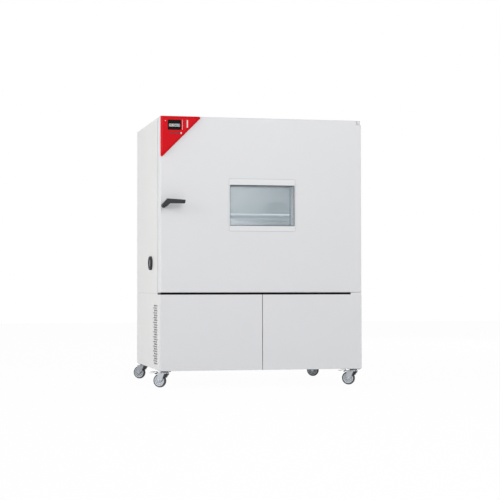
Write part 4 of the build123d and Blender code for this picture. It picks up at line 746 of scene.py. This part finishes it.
# %% Turned parts
def turned(name, lines, coat, body, sides=32, bored=False):
    """One piece of several turned forms. Each line is (start, axis, profile) with (radius, distance) pairs. A bored
    form is closed along its bore, from the last pair back to the first, and has no end faces."""
    form = bmesh.new()
    for start, axis, profile in lines:
        start = Vector(start)
        axis = Vector(axis).normalized()
        swing = Vector((0, 0, 1)).rotation_difference(axis).to_matrix()
        rings = []
        for radius, distance in profile:
            ring = []
            for number in range(sides):
                angle = 2 * pi * number / sides
                flat = Vector((radius * cos(angle), radius * sin(angle), distance))
                ring.append(form.verts.new(start + swing @ flat))
            rings.append(ring)
        bands = list(zip(rings, rings[1:]))
        if bored:
            bands.append((rings[-1], rings[0]))
        for lower, upper in bands:
            for number in range(sides):
                after = (number + 1) % sides
                form.faces.new((lower[number], lower[after], upper[after], upper[number]))
        if not bored:
            form.faces.new(list(reversed(rings[0])))
            form.faces.new(rings[-1])
    for face in form.faces:
        face.smooth = len(face.verts) == 4
    return keep(name, form, coat, body)


# %% [markdown]
# Castors, from the axle outwards. The axle line of every castor runs level, square to its fork. Each wheel gets
# a smooth cover with two shallow rings on both sides, as moulded hubs have, and each fork a nut with a washer at
# the axle. Where the legs meet, black plates above the wheel are painted shade: they stand for the shade in the gap.

# %% Castor directions
castor_yaw = radians(-34)
roll_way = Vector((cos(castor_yaw), sin(castor_yaw), 0))
axle_way = Vector((-sin(castor_yaw), cos(castor_yaw), 0))
castor_trail = 40 * MM
leg_face = 21.5 * MM
wheel_centres = {}
king_pins = {}
for corner in corners:
    low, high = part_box(f"{corner}_tyre")
    wheel_centres[corner] = (low + high) / 2
    king_pins[corner] = wheel_centres[corner] + roll_way * castor_trail
print({corner: tuple(round(c, 3) for c in place) for corner, place in wheel_centres.items()})

# %% [markdown]
# The wheel cover fills the dish of the hub a little and stays inside the tyre's width. Its rings are ridges half a
# millimetre high, which catch a thin light even from afar. Two grey rings in the grooves between them stand for the
# shade there. They are darker on the rear wheels, because the photograph shows those wheels darker.

# %% Wheel covers
cover_coat = finish("wheel_cover", (0.66, 0.71, 0.75), 0.38, grain_scale=300, bump=0.04, mottle=0.04)
cover_seat = 12.2 * MM
cover_profile = [(37.0 * MM, 0), (37.0 * MM, 0.6 * MM), (35.6 * MM, 1.5 * MM), (33.6 * MM, 1.5 * MM),
                 (32.6 * MM, 0.5 * MM), (25.6 * MM, 0.3 * MM), (24.8 * MM, 1.2 * MM), (22.8 * MM, 1.2 * MM),
                 (22.0 * MM, 0.3 * MM), (14.5 * MM, 0.6 * MM), (13.5 * MM, 2.6 * MM), (9.0 * MM, 2.8 * MM),
                 (9.0 * MM, 0)]
shade_dark = finish("groove_dark", (0.12, 0.13, 0.14), 0.6, grain_scale=300, bump=0.06, mottle=0.2)
shade_pale = finish("groove_pale", (0.34, 0.38, 0.41), 0.5, grain_scale=300, bump=0.05, mottle=0.2)
groove_lines = [[(32.2 * MM, 0.2 * MM), (31.6 * MM, 0.8 * MM), (27.2 * MM, 0.8 * MM), (26.6 * MM, 0.2 * MM)],
                [(20.6 * MM, 0.2 * MM), (20.0 * MM, 0.9 * MM), (16.6 * MM, 0.9 * MM), (16.0 * MM, 0.2 * MM)]]
for corner in corners:
    centre = wheel_centres[corner]
    sides_of_wheel = [(centre + axle_way * side * cover_seat, axle_way * side, cover_profile) for side in (-1, 1)]
    turned(f"{corner}_wheel_cover", sides_of_wheel, cover_coat, f"{corner}_wheel", sides=40, bored=True)
    for number, line in enumerate(groove_lines):
        coat = shade_dark if corner.startswith("rear") else shade_pale
        grooves = [(centre + axle_way * side * cover_seat, axle_way * side, line) for side in (-1, 1)]
        turned(f"{corner}_wheel_groove_{number}", grooves, coat, f"{corner}_wheel", sides=40, bored=True)

# %% [markdown]
# Black plates on the leading edge of the fork are painted shade: they stand for the shade between the legs. A
# tongue hangs between the legs in front of the wheel, and a thin cheek covers the front of each leg. Each is drawn
# as a side profile in the roll direction and widened along the axle. The two front castors also carry a small black
# block under the pedal, guessed from a dark spot in the photograph; it is painted shade, the pedal's shadow on the
# tyre.

# %% Painted shade plates and axle nuts
# The black of the plates that paint the shade on the castors.
shade_plate_black = finish("shade_plate_black", (0.012, 0.013, 0.015), 0.55, grain_scale=400, bump=0.08)
nut_coat = finish("nut_zinc", (0.45, 0.47, 0.50), 0.30, metallic=1.0, grain_scale=200, bump=0.04)
shade_plate_half = 17.2 * MM
shade_plate_line = [(27, 103), (27, 98), (16, 84), (9, 73), (7, 73), (4, 84), (-2, 92), (-12, 99), (-18, 102.5), (-18, 103)]
shade_strip_line = [(7, 108), (27, 108), (25, 100), (-3, 69), (-10, 67), (-8, 76)]
shade_patch_line = [(-60, 107), (-60, 103), (-68, 98), (-78, 99), (-78, 104), (-70, 107)]
shade_strip_half = 0.8 * MM
shade_patch_half = 11 * MM


def widened(name, line, origin, way, side_way, half_width, coat, body, edge=0.15 * MM):
    """A plate from a side profile in (along, up) millimetres, half_width to each side, edges rounded."""
    form = bmesh.new()
    near = []
    far = []
    for along, up in line:
        spot = Vector((origin.x, origin.y, 0)) + way * along * MM + Vector((0, 0, up * MM))
        near.append(form.verts.new(spot - side_way * half_width))
        far.append(form.verts.new(spot + side_way * half_width))
    count = len(line)
    for number in range(count):
        after = (number + 1) % count
        form.faces.new((near[number], near[after], far[after], far[number]))
    form.faces.new(list(reversed(near)))
    form.faces.new(far)
    bmesh.ops.recalc_face_normals(form, faces=form.faces[:])
    bmesh.ops.bevel(form, geom=form.edges[:], offset=edge, segments=1, affect="EDGES", clamp_overlap=True)
    return keep(name, form, coat, body)


for corner in corners:
    pin = king_pins[corner]
    centre = wheel_centres[corner]
    fork = f"{corner}_castor"
    widened(f"{corner}_shade_plate", shade_plate_line, pin, roll_way, axle_way, shade_plate_half, shade_plate_black, fork)
    for label, side in (("near", -1), ("far", 1)):
        beside = pin + axle_way * side * (leg_face + shade_strip_half)
        widened(f"{corner}_shade_strip_{label}", shade_strip_line, beside, roll_way, axle_way, shade_strip_half, shade_plate_black, fork)
    if corner.startswith("front"):
        # Painted shade: the pedal's shadow on the tyre.
        widened(f"{corner}_shade_patch", shade_patch_line, pin, roll_way, axle_way, shade_patch_half, shade_plate_black, f"{corner}_brake")
    nut_profile = [(10 * MM, -0.4 * MM), (10 * MM, 1.0 * MM), (9.4 * MM, 1.4 * MM), (5.6 * MM, 1.6 * MM),
                   (5.2 * MM, 5.4 * MM), (4.2 * MM, 6.0 * MM)]
    nuts = [(centre + axle_way * side * leg_face, axle_way * side, nut_profile) for side in (-1, 1)]
    turned(f"{corner}_axle_nuts", nuts, nut_coat, fork, sides=18)

# %% [markdown]
# Four bolts hold each castor plate to the cabinet's floor. Their heads sit under the plate's corners.

# %% Castor plate bolts
plate_sheet = 4 * MM
plate_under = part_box("castor_plates")[1].z - plate_sheet
bolt_reach = 32 * MM
bolt_places = []
for corner in corners:
    pin = king_pins[corner]
    for side_x in (-1, 1):
        for side_y in (-1, 1):
            bolt_places.append((pin.x + side_x * bolt_reach, pin.y + side_y * bolt_reach, plate_under))
screws("castor_bolts", bolt_places, "down", 6 * MM, 7 * MM, dark_screw, "housing", sides=6, socket=0.4)

# %% [markdown]
# The brake pedals have a ribbed rubber pad on the step, so that a shoe doesn't slip. One Geometry Nodes tree lays
# a row of rounded bars along a line.


# %% Bar row tree
def bar_row_tree():
    """A row of equal bars between two points: line -> instances -> turned -> realised."""
    tree = bpy.data.node_groups.new("bar_row", "GeometryNodeTree")
    for label, kind in (("Start", "NodeSocketVector"), ("End", "NodeSocketVector"), ("Count", "NodeSocketInt"),
                        ("Bar size", "NodeSocketVector"), ("Turn", "NodeSocketVector"),
                        ("Finish", "NodeSocketMaterial")):
        tree.interface.new_socket(label, in_out="INPUT", socket_type=kind)
    tree.interface.new_socket("Bars", in_out="OUTPUT", socket_type="NodeSocketGeometry")
    given = tree.nodes.new("NodeGroupInput")
    result = tree.nodes.new("NodeGroupOutput")
    line = tree.nodes.new("GeometryNodeMeshLine")
    line.mode = "END_POINTS"
    tree.links.new(given.outputs["Start"], line.inputs["Start Location"])
    tree.links.new(given.outputs["End"], line.inputs["Offset"])
    tree.links.new(given.outputs["Count"], line.inputs["Count"])
    bar = tree.nodes.new("GeometryNodeMeshCylinder")
    bar.inputs["Vertices"].default_value = 8
    bar.inputs["Radius"].default_value = 0.5
    bar.inputs["Depth"].default_value = 1
    size = tree.nodes.new("GeometryNodeTransform")
    tree.links.new(bar.outputs["Mesh"], size.inputs["Geometry"])
    tree.links.new(given.outputs["Bar size"], size.inputs["Scale"])
    turn = tree.nodes.new("FunctionNodeEulerToRotation")
    tree.links.new(given.outputs["Turn"], turn.inputs["Euler"])
    row = tree.nodes.new("GeometryNodeInstanceOnPoints")
    tree.links.new(line.outputs["Mesh"], row.inputs["Points"])
    tree.links.new(size.outputs["Geometry"], row.inputs["Instance"])
    tree.links.new(turn.outputs["Rotation"], row.inputs["Rotation"])
    real = tree.nodes.new("GeometryNodeRealizeInstances")
    tree.links.new(row.outputs["Instances"], real.inputs["Geometry"])
    coat = tree.nodes.new("GeometryNodeSetMaterial")
    tree.links.new(real.outputs["Geometry"], coat.inputs["Geometry"])
    tree.links.new(given.outputs["Finish"], coat.inputs["Material"])
    tree.links.new(coat.outputs["Geometry"], result.inputs["Bars"])
    return tree


row_tree = bar_row_tree()


def bars(name, start, end, count, size, turn, coat, body):
    """A row of bars from start to end, each size wide, deep and long, turned by Euler angles."""
    values = {"Start": tuple(start), "End": tuple(end), "Count": count, "Bar size": size, "Turn": turn,
              "Finish": coat}
    return grow(name, row_tree, [(0, 0, 0)], values, body, smooth=False)


# %% [markdown]
# The pad's ribs run across the pedal, at its outer end. A rib is a flattened round bar, half sunk into the step.

# %% Pedal pads
pad_start = 84 * MM
pad_end = 110 * MM
rib_sink = 0.6 * MM
for corner in ("front_left", "front_right"):
    pin = king_pins[corner]
    step_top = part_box(f"{corner}_brake_pedal")[1].z - rib_sink
    first = Vector((pin.x, pin.y, step_top)) - roll_way * pad_start
    last = Vector((pin.x, pin.y, step_top)) - roll_way * pad_end
    along_axle = (pi / 2, 0, castor_yaw)
    bars(f"{corner}_pad", first, last, 6, (2.4 * MM, 1.6 * MM, 22 * MM), along_axle, seal_rubber, f"{corner}_brake")
